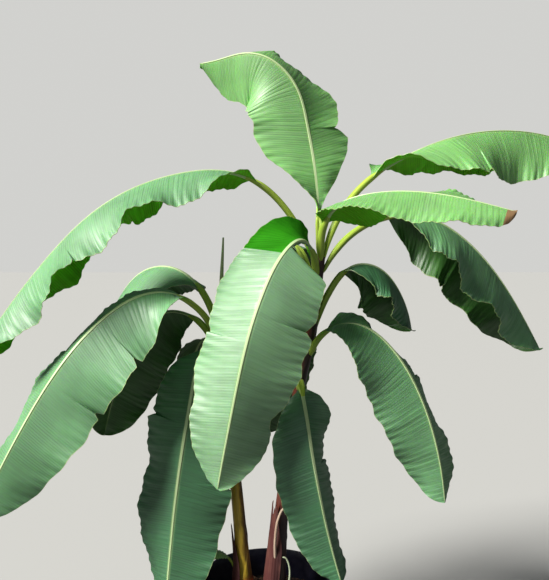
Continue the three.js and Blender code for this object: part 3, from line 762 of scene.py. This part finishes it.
def make_vein_group():
    """Fine side veins, the bands between them, and masks of the rib and the margin."""
    group, given, out = start_group(
        "Side veins", [("Map", "NodeSocketVector", None)],
        ["Lines", "Bands", "Patches", "Rib", "Margin", "Height"])
    parts = parts_of(group, given["Map"])
    away = times(group, away_from(group, parts["Y"], 0.5), 2.0)
    bands = streaks(group, parts, *BANDS)
    patches = streaks(group, parts, *PATCHES)
    wander = times(group, streaks(group, parts, *BENDS), VEINS_BEND)
    turns = plus(group, times(group, parts["X"], TURN / (VEIN_SPACING * MM)), wander)
    strong = spread(group, streaks(group, parts, *STRENGTHS), 0.35, 0.62, 0.25, 1.0)
    lines = times(group, spread(group, reckon(group, "SINE", turns), 0.1, 0.95), strong)
    frayed = plus(group, away, times(group, bands, 0.012))
    made = {
        "Lines": lines,
        "Bands": spread(group, bands, 0.34, 0.68),
        "Patches": spread(group, patches, 0.38, 0.66),
        "Rib": spread(group, away, 0.07, 0.0),
        "Margin": spread(group, frayed, 0.988, 1.004),
        "Height": reckon(group, "SUBTRACT", times(group, bands, 0.6), times(group, lines, 0.4)),
    }
    for label, value in made.items():
        group.links.new(value, out[label])


def make_fibre_group():
    """Long fibres and stains of a stem or sheath, from the piece's own map."""
    group, given, out = start_group(
        "Long fibres",
        [("Map", "NodeSocketVector", None), ("Along", "NodeSocketFloat", 6.0),
         ("Round", "NodeSocketFloat", 60.0)],
        ["Fibres", "Stains", "Height"])
    parts = parts_of(group, given["Map"])
    fibres = streaks(group, parts, given["Along"], given["Round"], 3.0)
    stains = streaks(group, parts, *STAINS)
    group.links.new(spread(group, fibres, 0.36, 0.66), out["Fibres"])
    group.links.new(spread(group, stains, 0.42, 0.66), out["Stains"])
    group.links.new(plus(group, fibres, times(group, stains, 0.5)), out["Height"])


def start_material(name, roughness):
    material = bpy.data.materials.new(name)
    material.use_nodes = True
    tree = material.node_tree
    shader = tree.nodes["Principled BSDF"]
    shader.inputs["Roughness"].default_value = roughness
    return material, tree, shader.inputs


def place_group(tree, group, values):
    return put(tree, "ShaderNodeGroup", values, node_tree=bpy.data.node_groups[group]).outputs


def bump(tree, height, strength, distance):
    values = {"Height": height, "Strength": strength, "Distance": distance * MM}
    return put(tree, "ShaderNodeBump", values).outputs[0]


def own_map(tree):
    return put(tree, "ShaderNodeUVMap", uv_map="pattern").outputs[0]


def make_leaf_material(name, colour, rib, margin, roughness, through, gloss=LEAF_GLOSS, lines=0.5):
    """A side of a blade: veins over its own colour, and how much light comes through it."""
    tree, shader = start_material(name, roughness)[1:]
    veins = place_group(tree, "Side veins", {"Map": own_map(tree)})
    shade = plus(tree, times(tree, veins["Bands"], BAND_SHADE), times(tree, veins["Lines"], lines))
    shade = plus(tree, shade, times(tree, veins["Patches"], PATCH_SHADE), clamp=True)
    mixed = colour_between(tree, shade, opaque(colour, LIGHT_SIDE), opaque(colour, DEEP_SIDE))
    mixed = colour_between(tree, times(tree, veins["Rib"], RIB_SHOWS), mixed, opaque(rib))
    mixed = colour_between(tree, times(tree, veins["Margin"], MARGIN_SHOWS), mixed, opaque(margin))
    tree.links.new(mixed, shader["Base Color"])
    rough = spread(tree, veins["Bands"], 0, 1, roughness - 0.05, roughness + 0.1)
    tree.links.new(rough, shader["Roughness"])
    tree.links.new(bump(tree, veins["Height"], 0.5, 0.8), shader["Normal"])
    shader["IOR"].default_value = gloss
    shader["Subsurface Weight"].default_value = through
    shader["Subsurface Radius"].default_value = LEAF_SCATTER
    shader["Subsurface Scale"].default_value = SCATTER_DEPTH * MM


def make_stalk_material(name, light, deep, roughness):
    tree, shader = start_material(name, roughness)[1:]
    fibres = place_group(tree, "Long fibres", {"Map": own_map(tree), "Along": 5.0, "Round": 26.0})
    colour = colour_between(tree, fibres["Fibres"], opaque(light), opaque(deep))
    tree.links.new(colour, shader["Base Color"])
    tree.links.new(bump(tree, fibres["Height"], 0.25, 0.6), shader["Normal"])


def make_stem_material(name, light, deep, blotch, roughness, lit=(0.53, 0.16), foot=None):
    """A stem in its own colours, with painted light on the side towards the key lamp, whose middle and half
    width are given in turns, and painted shade on the other side.
    """
    tree, shader = start_material(name, roughness)[1:]
    fibres = place_group(tree, "Long fibres", {"Map": own_map(tree), "Along": 4.0, "Round": 90.0})
    parts = parts_of(tree, own_map(tree))
    from_lit = plus(tree, away_from(tree, parts["Y"], lit[0]), times(tree, fibres["Stains"], STAIN_SWAY))
    # Painted light and shade: the light colour goes on the side towards the key lamp, and the deep colour
    # on the other side.
    side = spread(tree, from_lit, lit[1], lit[1] + LIT_SOFTNESS)
    colour = colour_between(tree, side, opaque(light), opaque(deep))
    colour = colour_between(tree, times(tree, fibres["Stains"], STAINS_SHOW), colour, opaque(blotch))
    darker = opaque(deep, FIBRE_SHADE)
    colour = colour_between(tree, times(tree, fibres["Fibres"], FIBRES_SHOW), colour, darker)
    if foot:
        ragged = plus(tree, parts["X"], times(tree, fibres["Fibres"], FOOT_SWAY))
        colour = colour_between(tree, spread(tree, ragged, *FOOT_FADES), colour, opaque(foot))
    tree.links.new(colour, shader["Base Color"])
    tree.links.new(spread(tree, fibres["Stains"], 0, 1, roughness, roughness + 0.2), shader["Roughness"])
    tree.links.new(bump(tree, fibres["Height"], 0.5, 1.2), shader["Normal"])


def make_rough_material(name, light, deep, scale, roughness, strength, distance):
    """Soil, bark chips and plastic: two colours mottled by place."""
    tree, shader = start_material(name, roughness)[1:]
    place = put(tree, "ShaderNodeTexCoord").outputs["Object"]
    large = noise_at(tree, place, scale, 4.0)
    small = noise_at(tree, place, scale * 9, 3.0)
    mottle = plus(tree, times(tree, large, 0.6), times(tree, small, 0.4))
    colour = colour_between(tree, spread(tree, mottle, 0.38, 0.62), opaque(light), opaque(deep))
    tree.links.new(colour, shader["Base Color"])
    tree.links.new(spread(tree, large, 0.3, 0.7, roughness - 0.08, roughness + 0.08), shader["Roughness"])
    tree.links.new(bump(tree, mottle, strength, distance), shader["Normal"])


# Operators, one for each group of like pieces


class PLANT_OT_finishes(bpy.types.Operator):
    """Makes the node groups and the materials"""
    bl_idname = "plant.finishes"
    bl_label = "Finishes"

    def execute(self, context):
        leaf = context.scene.leaf_settings
        stem = context.scene.stem_settings
        pot = context.scene.pot_settings
        make_vein_group()
        make_fibre_group()
        rib = (0.40, 0.58, 0.20)
        margin = (0.40, 0.50, 0.20)
        # Painted light: the pale new top is for the sucker leaf, which lies in shade.
        make_leaf_material("Leaf top, new", (0.50, 0.78, 0.30), rib, margin, 0.5, 0.3)
        # These tops are tinted partly by age and partly as painted light and shade: young lit, grown
        # between, old shaded, smooth with a painted sheen.
        make_leaf_material("Leaf top, young", leaf.top_young, rib, margin, 0.52, 0.5)
        make_leaf_material("Leaf top, grown", leaf.top_grown, rib, margin, 0.54, 0.3)
        make_leaf_material("Leaf top, smooth", leaf.top_smooth, rib, margin, 0.54, 0.3, lines=0.22)
        make_leaf_material("Leaf top, old", leaf.top_old, rib, margin, 0.52, 0.1)
        make_leaf_material(
            "Leaf top, light through", (0.020, 0.200, 0.003), (0.1, 0.4, 0.02), margin, 0.9, 0.2, gloss=1.2)
        make_leaf_material("Leaf underside, sunny", leaf.under_sunny, rib, margin, 0.8, 0.8, gloss=1.3)
        # Painted light: the sucker leaf's underside is pale although it lies in shade.
        make_leaf_material("Leaf underside, new", (0.45, 0.72, 0.22), rib, margin, 0.6, 0.5)
        make_leaf_material("Leaf underside, shady", leaf.under_shady, (0.2, 0.36, 0.1), margin, 0.5, 0.3)
        make_leaf_material("Dry tip", (0.24, 0.13, 0.045), (0.3, 0.18, 0.07), (0.2, 0.1, 0.04), 0.7, 0.0)
        make_stalk_material("Petiole", leaf.petiole, (0.28, 0.44, 0.040), 0.36)
        make_stalk_material("Midrib", leaf.midrib, (0.44, 0.60, 0.27), 0.4)
        make_stalk_material("Rolled leaf", (0.62, 0.70, 0.42), (0.42, 0.52, 0.20), 0.42)
        # Stems, sheaths and strips: painted light on the side towards the key lamp, painted shade on the
        # other side.
        make_stem_material("Main stem", stem.russet, stem.purple, (0.10, 0.05, 0.04), 0.42)
        make_stem_material("Left stem", stem.olive, (0.10, 0.060, 0.014), (0.42, 0.24, 0.03), 0.38,
                           lit=(0.60, 0.20), foot=(0.66, 0.12, 0.04))
        make_stem_material("Dead sheath", stem.dry, (0.055, 0.012, 0.012), (0.19, 0.07, 0.05), 0.75)
        make_stem_material("Dead stalk", (0.66, 0.50, 0.38), (0.40, 0.24, 0.15), (0.30, 0.16, 0.10), 0.7)
        make_stem_material("Pale edge", (0.62, 0.72, 0.50), (0.30, 0.36, 0.20), (0.34, 0.30, 0.16), 0.6)
        make_rough_material("Pot plastic", pot.plastic, (0.030, 0.028, 0.048), 5.0, 0.36, 0.15, 0.4)
        make_rough_material("Soil", pot.soil, (0.014, 0.009, 0.008), 55.0, 0.95, 0.9, 3.0)
        make_rough_material("Bark chips", (0.21, 0.105, 0.055), (0.06, 0.028, 0.018), 60.0, 0.9, 0.6, 1.0)
        return {"FINISHED"}


class PLANT_OT_leaves(bpy.types.Operator):
    """Grows every leaf: its blade with side veins, and its petiole and midrib"""
    bl_idname = "plant.leaves"
    bl_label = "Leaves"

    def execute(self, context):
        settings = context.scene.leaf_settings
        for leaf in LEAVES:
            rib = rib_of(leaf)
            blade = self.make_blade(leaf, rib, settings)
            stalk = self.make_stalk(leaf, rib)
            bpy.ops.object.select_all(action="DESELECT")
            stalk.select_set(True)
            blade.select_set(True)
            context.view_layer.objects.active = blade
            bpy.ops.object.join()
            nodes = [leaf["name"]]
            if leaf.get("pieces") == 2:
                nodes = [leaf["name"] + "_inner", leaf["name"] + "_outer"]
            finish_piece(blade, nodes)
        return {"FINISHED"}

    def make_blade(self, leaf, rib, settings):
        """The blade. Each top has the material of its underside in the slot after its own."""
        share = leaf["petiole"] / leaf["length"]
        rows = max(FEWEST_ROWS, int(settings.rows * (leaf["length"] - leaf["petiole"]) / ROWS_OVER))
        blade, u, v = add_grid(leaf["name"] + "_leaf", rows, settings.columns)
        along_it, across_it = face_places(blade)
        down = share + (1 - share) * along_it
        which = np.zeros(len(down), np.int32)
        which[(down < leaf.get("through", 0)) & (across_it < 0.5)] = 2
        which[down > leaf.get("dry_tip", 1)] = 4
        points, run = blade_point(leaf, rib, share + (1 - share) * u, 2 * v - 1)
        shape_mesh(blade, points)
        lay_pattern(blade, run * MM + leaf["seed"], v)
        paint(blade, "Leaf top, " + leaf["age_and_light"], "Leaf underside, " + leaf["light"],
              "Leaf top, light through", "Leaf underside, sunny", "Dry tip", "Dry tip", "Petiole", "Midrib")
        blade.data.polygons.foreach_set("material_index", which)
        add_thickness(blade, BLADE_THICK, 1)
        return blade

    def make_stalk(self, leaf, rib):
        share = leaf["petiole"] / leaf["length"]
        stalk, u, v = add_grid("stalk", STALK_ROWS, STALK_SIDES)
        past = face_places(stalk)[0] > share + MIDRIB_FROM * (1 - share)
        shape_mesh(stalk, petiole_point(leaf, rib, u, v))
        lay_pattern(stalk, u * leaf["length"] * MM, v)
        paint(stalk, "Petiole", "Midrib")
        stalk.data.polygons.foreach_set("material_index", past.astype(np.int32))
        close_tube(stalk)
        return stalk


class PLANT_OT_stems(bpy.types.Operator):
    """Makes the two stems of wrapped sheaths and the rolled new leaf"""
    bl_idname = "plant.stems"
    bl_label = "Stems"

    def execute(self, context):
        looks = {"main": "Main stem", "left": "Left stem", "spear": "Rolled leaf"}
        for name, stem in STEMS.items():
            node = name if name == "spear" else "stem_" + name
            piece, u, v = add_grid(node + "_wrapped", STEM_ROWS, STEM_SIDES)
            middle, which = curve_at(stem["line"], u)
            tall = stem["line"][-1][2] - stem["line"][0][2]
            first = (v + WRAP_SWAY * np.sin(WRAP_SWAYS * u) + u * tall / WRAP_RISE) % 1
            second = (v + 0.5 - u * tall / SECOND_RISE) % 1
            edge = ease(first / WRAP_EDGE) * (1 - first) + ease(second / WRAP_EDGE) * (1 - second)
            swell = 1 + stem.get("swell", STEM_SWELL) * np.sin(TURN * (2 * v + STEM_TWIST * u))
            step = stem.get("step", WRAP_STEP)
            reach = (along(stem["radius"], u) * swell - step + step * edge) * pointed(u, STEM_POINTED)
            angle = TURN * v
            ring = points_of(reach * np.cos(angle), reach * np.sin(angle), 0 * angle)
            shape_mesh(piece, middle[which] + ring)
            lay_pattern(piece, u * tall * MM, v)
            close_tube(piece)
            paint(piece, looks[name])
            finish_piece(piece, [node])
        return {"FINISHED"}


class PLANT_OT_sheaths(bpy.types.Operator):
    """Makes the dead sheaths round the feet of the stems and the dead stalk"""
    bl_idname = "plant.sheaths"
    bl_label = "Dead sheaths"

    def execute(self, context):
        for name, sheath in SHEATHS.items():
            stem = STEMS[sheath["stem"]]
            piece, u, v = add_grid(name + "_torn", SHEATH_ROWS, SHEATH_COLUMNS)
            ragged = sum(size * np.sin(often * v + start) for size, often, start in SHEATH_TEARS)
            rise = u * (SHEATH_TORN_AT + ragged)
            taper = mix(1, SHEATH_TAPER_TO, ease((rise - SHEATH_TAPER_FROM) / (1 - SHEATH_TAPER_FROM)))
            angle = np.radians(sheath["facing"] + (v - 0.5) * sheath["wrap"] * taper)
            height = mix(sheath["low"], sheath["high"], rise)
            steps, which = np.unique(np.round(height, 1), return_inverse=True)
            middle = np.array([stem_middle(stem["line"], h) for h in steps])[which]
            share = (height - stem["line"][0][2]) / (stem["line"][-1][2] - stem["line"][0][2])
            curl = SHEATH_CURL * np.abs(2 * v - 1) ** 6 * ease(rise * 3)
            ripple = sum(size * np.sin(often * v + lean * rise) for size, often, lean in SHEATH_RIPPLES)
            off = SHEATH_OFF + sheath["flare"] * rise ** 3 + curl + ripple
            reach = along(stem["radius"], share) + off
            x = middle[:, 0] + reach * np.cos(angle)
            y = middle[:, 1] + reach * np.sin(angle)
            shape_mesh(piece, points_of(x, y, height))
            lay_pattern(piece, height * MM, v * 0.6 + 0.25)
            paint(piece, "Dead sheath")
            add_thickness(piece, SHEATH_THICK)
            finish_piece(piece, [name])

        self.make_strip("dry_stalk_curled", DRY_STALK, 3.6, "Dead stalk", ["dry_stalk"])
        self.make_strip("sheath_curl", CURL, 2.6, "Pale edge")
        return {"FINISHED"}

    def make_strip(self, name, points, half, look, nodes=()):
        """A narrow strip, rolled in along its length, that follows a line of points."""
        piece, u, v = add_grid(name, STRIP_ROWS, STRIP_COLUMNS)
        line, which = curve_at(points, u)
        ahead = np.gradient(line, axis=0)
        ahead = ahead / np.linalg.norm(ahead, axis=1)[:, None]
        line, ahead = line[which], ahead[which]
        level = np.cross(ahead, STRIP_FACING)
        level = level / np.linalg.norm(level, axis=1)[:, None]
        upright = np.cross(level, ahead)
        angle = np.radians((v - 0.5) * STRIP_ROLLED)
        wide = (half * mix(*STRIP_TAPER, u) * np.sqrt(np.clip((1 - u) * STRIP_POINTED, 0.1, 1)))[:, None]
        ring = level * np.sin(angle)[:, None] - upright * np.cos(angle)[:, None]
        shape_mesh(piece, line + ring * wide)
        lay_pattern(piece, u * 0.3, v * 0.3 + 0.3)
        paint(piece, look)
        add_thickness(piece, STRIP_THICK)
        finish_piece(piece, nodes)


class PLANT_OT_pot(bpy.types.Operator):
    """Turns the pot, cuts its drain holes, and fills it with soil and bark"""
    bl_idname = "plant.pot"
    bl_label = "Pot and soil"

    def execute(self, context):
        settings = context.scene.pot_settings
        self.make_pot(context, settings.sides)
        self.make_soil()
        self.make_chips(settings.chips)
        return {"FINISHED"}

    def make_pot(self, context, sides):
        """The pot is turned from its outline: up the outside, over the lip and down the inside."""
        low = POT_HEIGHT - LIP_HEIGHT
        outer = RIM_RADIUS - LIP_OUT
        slope = (outer - FOOT_RADIUS) / low
        profile = [
            (0, 0), (FOOT_RADIUS - 3, 0), (FOOT_RADIUS, 2.5),
            (FOOT_RADIUS + slope * 30, 30), (outer - slope * 70, low - 70), (outer - slope * 66, low - 66),
            (outer - slope * 3, low - 3), (outer + 1, low), (RIM_RADIUS - 1, low + 1),
            (RIM_RADIUS, low + 3.5), (RIM_RADIUS, POT_HEIGHT - 3), (RIM_RADIUS - 1, POT_HEIGHT - 0.8),
            (RIM_RADIUS - 3, POT_HEIGHT), (outer + 1, POT_HEIGHT), (outer - 0.6, POT_HEIGHT - 1.5),
            (outer - POT_WALL + 1, low + 4), (outer - POT_WALL - slope * 6, low - 6),
            (FOOT_RADIUS + slope * POT_FLOOR - POT_WALL, POT_FLOOR), (0, POT_FLOOR),
        ]
        mesh = bpy.data.meshes.new("pot_turned")
        edges = [(k, k + 1) for k in range(len(profile) - 1)]
        mesh.from_pydata([(r * MM, 0, z * MM) for r, z in profile], edges, [])
        pot = bpy.data.objects.new("pot_turned", mesh)
        context.scene.collection.objects.link(pot)
        choose(pot)
        bpy.ops.object.mode_set(mode="EDIT")
        bpy.ops.mesh.select_all(action="SELECT")
        bpy.ops.mesh.spin(steps=sides, dupli=False, angle=TURN, center=(0, 0, 0), axis=(0, 0, 1))
        clean_mesh(POT_SEAM)
        for k in range(DRAIN_HOLES):
            self.cut_hole(context, pot, (k + 0.5) * TURN / DRAIN_HOLES)
        paint(pot, "Pot plastic")
        finish_piece(pot, ["pot"])

    def cut_hole(self, context, pot, turn):
        """A drain hole low in the wall, cut with a block whose edges are rounded."""
        where = Vector((math.cos(turn), math.sin(turn), 0)) * FOOT_RADIUS * MM
        where.z = (POT_FLOOR + DRAIN_SIZE[2] / 2 + DRAIN_ABOVE) * MM
        bpy.ops.object.select_all(action="DESELECT")
        bpy.ops.mesh.primitive_cube_add(size=1, location=where, rotation=(0, 0, turn))
        cutter = context.object
        cutter.scale = [d * MM for d in DRAIN_SIZE]
        bpy.ops.object.transform_apply(location=False, rotation=False, scale=True)
        edges = cutter.modifiers.new("round", "BEVEL")
        edges.width = DRAIN_ROUND * MM
        edges.segments = 3
        bpy.ops.object.modifier_apply(modifier=edges.name)
        choose(pot)
        cut = pot.modifiers.new("drain", "BOOLEAN")
        cut.operation = "DIFFERENCE"
        cut.solver = "EXACT"
        cut.object = cutter
        bpy.ops.object.modifier_apply(modifier=cut.name)
        bpy.data.objects.remove(cutter, do_unlink=True)

    def soil_radius(self, height):
        """How far the soil reaches at a height, a little inside the pot's wall."""
        slope = (RIM_RADIUS - LIP_OUT - FOOT_RADIUS) / (POT_HEIGHT - LIP_HEIGHT)
        return FOOT_RADIUS + slope * height - POT_WALL - SOIL_CLEAR

    def make_soil(self):
        """One grid makes the soil's top, its side down the wall and its underside."""
        inner = self.soil_radius(SOIL_EDGE)
        foot = self.soil_radius(POT_FLOOR)
        low = POT_FLOOR + SOIL_OFF_FLOOR
        piece, u, v = add_grid("soil_crumbs", SOIL_RINGS, SOIL_SIDES)
        top = u < SOIL_TOP_TO
        side = (u - SOIL_TOP_TO) / (SOIL_SIDE_TO - SOIL_TOP_TO)
        below = np.where(u < SOIL_SIDE_TO, mix(inner, foot, side), foot * (1 - u) / (1 - SOIL_SIDE_TO))
        radius = np.maximum(np.where(top, inner * u / SOIL_TOP_TO, below), 0)
        flat = mix(SOIL_TOP, SOIL_EDGE, ease((radius - SOIL_FLAT_RADIUS) / (inner - SOIL_FLAT_RADIUS)))
        height = np.where(top, flat, np.where(u < SOIL_SIDE_TO, mix(SOIL_EDGE, low, side), low))
        angle = TURN * v
        x, y = radius * np.cos(angle), radius * np.sin(angle)
        crumbs = np.array([
            LUMP_HEIGHT * noise.fractal((a * LUMPS_PER_MM, b * LUMPS_PER_MM, 0), 1.0, 2.0, 3)
            + CRUMB_HEIGHT * noise.noise((a * CRUMBS_PER_MM, b * CRUMBS_PER_MM, 5))
            for a, b in zip(x, y)
        ])
        raised = (crumbs - SOIL_SETTLED) * ease((inner - radius) / SOIL_SMOOTH_EDGE)
        height = height + np.where(top, raised, 0)
        shape_mesh(piece, points_of(x, y, height))
        lay_pattern(piece, u, v)
        close_tube(piece)
        paint(piece, "Soil")
        finish_piece(piece, ["soil"])

    def make_chips(self, count):
        """Bits of bark, each a worn splinter, laid on the soil and joined to one mesh."""
        dice = random.Random(CHIPS_SEED)
        whole = bmesh.new()
        for _ in range(count):
            far = CHIPS_RADIUS * math.sqrt(dice.random())
            turn = dice.uniform(0, TURN)
            size = [dice.uniform(*ends) for ends in CHIP_SIZES]
            chip = bmesh.ops.create_cube(whole, size=1)["verts"]
            for corner in chip:
                worn = 1 - CHIP_WORN * dice.random()
                corner.co = Vector([c * s * worn for c, s in zip(corner.co, size)])
            lean = [dice.uniform(*ends) for ends in CHIP_LEANS]
            past = max(0, far - SOIL_FLAT_RADIUS) / (CHIPS_RADIUS - SOIL_FLAT_RADIUS)
            place = Vector((far * math.cos(turn), far * math.sin(turn), SOIL_TOP - 1 - CHIPS_DROP * past))
            turned = Euler(lean).to_matrix()
            for corner in chip:
                corner.co = (turned @ corner.co + place) * MM
        mesh = bpy.data.meshes.new("bark_chips")
        whole.to_mesh(mesh)
        whole.free()
        piece = bpy.data.objects.new("bark_chips", mesh)
        bpy.context.scene.collection.objects.link(piece)
        paint(piece, "Bark chips")
        finish_piece(piece)


class PLANT_OT_stage(bpy.types.Operator):
    """Sets the camera, the pale floor and the soft light"""
    bl_idname = "plant.stage"
    bl_label = "Stage"

    def execute(self, context):
        settings = context.scene.stage_settings
        camera = bpy.data.objects.new("camera", bpy.data.cameras.new("camera"))
        context.scene.collection.objects.link(camera)
        camera.location = (CAMERA_ASIDE, -settings.distance, settings.height)
        camera.rotation_euler = (math.radians(90) - settings.tilt, 0, 0)
        camera.data.sensor_width = SENSOR
        camera.data.lens = SENSOR * FOCAL_PIXELS / PICTURE_PIXELS
        context.scene.camera = camera
        self.make_floor(context)
        for name, aim, share, wide, colour in LAMPS:
            lamp = bpy.data.objects.new(name, bpy.data.lights.new(name, "SUN"))
            context.scene.collection.objects.link(lamp)
            lamp.data.energy = settings.key * share
            lamp.data.angle = math.radians(wide)
            lamp.data.color = colour
            lamp.rotation_euler = (-Vector(aim)).to_track_quat("-Z", "Y").to_euler()
        self.make_world(context, settings.around)
        return {"FINISHED"}

    def make_floor(self, context):
        """A pale floor that throws less light back than it shows."""
        bpy.ops.object.select_all(action="DESELECT")
        bpy.ops.mesh.primitive_plane_add(size=FLOOR_SIZE, location=(0, 0, 0))
        floor = context.object
        floor.name = "floor"
        pale, tree, shader = start_material("Floor", 0.9)
        shader["Base Color"].default_value = FLOOR_SEEN
        dim = put(tree, "ShaderNodeBsdfDiffuse", {"Color": FLOOR_LIT})
        self.show(tree, dim, tree.nodes["Principled BSDF"], tree.nodes["Material Output"])
        floor.data.materials.append(pale)

    def make_world(self, context, around):
        """Even light from all sides, in front of a pale backdrop."""
        world = bpy.data.worlds.new("studio")
        world.use_nodes = True
        tree = world.node_tree
        light = tree.nodes["Background"]
        light.inputs["Color"].default_value = SKY
        light.inputs["Strength"].default_value = around
        backdrop = put(tree, "ShaderNodeBackground", {"Color": BACKDROP, "Strength": 1.0})
        self.show(tree, light, backdrop, tree.nodes["World Output"])
        context.scene.world = world
        context.scene.view_settings.view_transform = "Standard"

    def show(self, tree, lighting, shown, output):
        """One shader lights the plant, and the other is what the camera sees."""
        seen = put(tree, "ShaderNodeLightPath").outputs["Is Camera Ray"]
        mixed = put(tree, "ShaderNodeMixShader", {0: seen, 1: lighting.outputs[0], 2: shown.outputs[0]})
        tree.links.new(mixed.outputs[0], output.inputs["Surface"])


class PLANT_PT_panel(bpy.types.Panel):
    """Lists the settings and the steps of the plant"""
    bl_label = "Banana plant"
    bl_idname = "PLANT_PT_panel"
    bl_space_type = "VIEW_3D"
    bl_region_type = "UI"
    bl_category = "Plant"

    def draw(self, context):
        for group in SETTINGS:
            box = self.layout.box()
            for key in SETTINGS[group].__annotations__:
                box.prop(getattr(context.scene, group), key)
        for operator in OPERATORS:
            self.layout.operator(operator.bl_idname)


SETTINGS = {
    "leaf_settings": LeafSettings,
    "stem_settings": StemSettings,
    "pot_settings": PotSettings,
    "stage_settings": StageSettings,
}
OPERATORS = (
    PLANT_OT_finishes, PLANT_OT_leaves, PLANT_OT_stems, PLANT_OT_sheaths, PLANT_OT_pot, PLANT_OT_stage)


def register():
    for kind in (*SETTINGS.values(), *OPERATORS, PLANT_PT_panel):
        bpy.utils.register_class(kind)
    for name, kind in SETTINGS.items():
        setattr(bpy.types.Scene, name, bpy.props.PointerProperty(type=kind))


def unregister():
    for name in SETTINGS:
        delattr(bpy.types.Scene, name)
    for kind in reversed((*SETTINGS.values(), *OPERATORS, PLANT_PT_panel)):
        bpy.utils.unregister_class(kind)


def main():
    register()
    bpy.ops.plant.finishes()
    bpy.ops.plant.leaves()
    bpy.ops.plant.stems()
    bpy.ops.plant.sheaths()
    bpy.ops.plant.pot()
    bpy.ops.plant.stage()


if __name__ == "__main__":
    main()
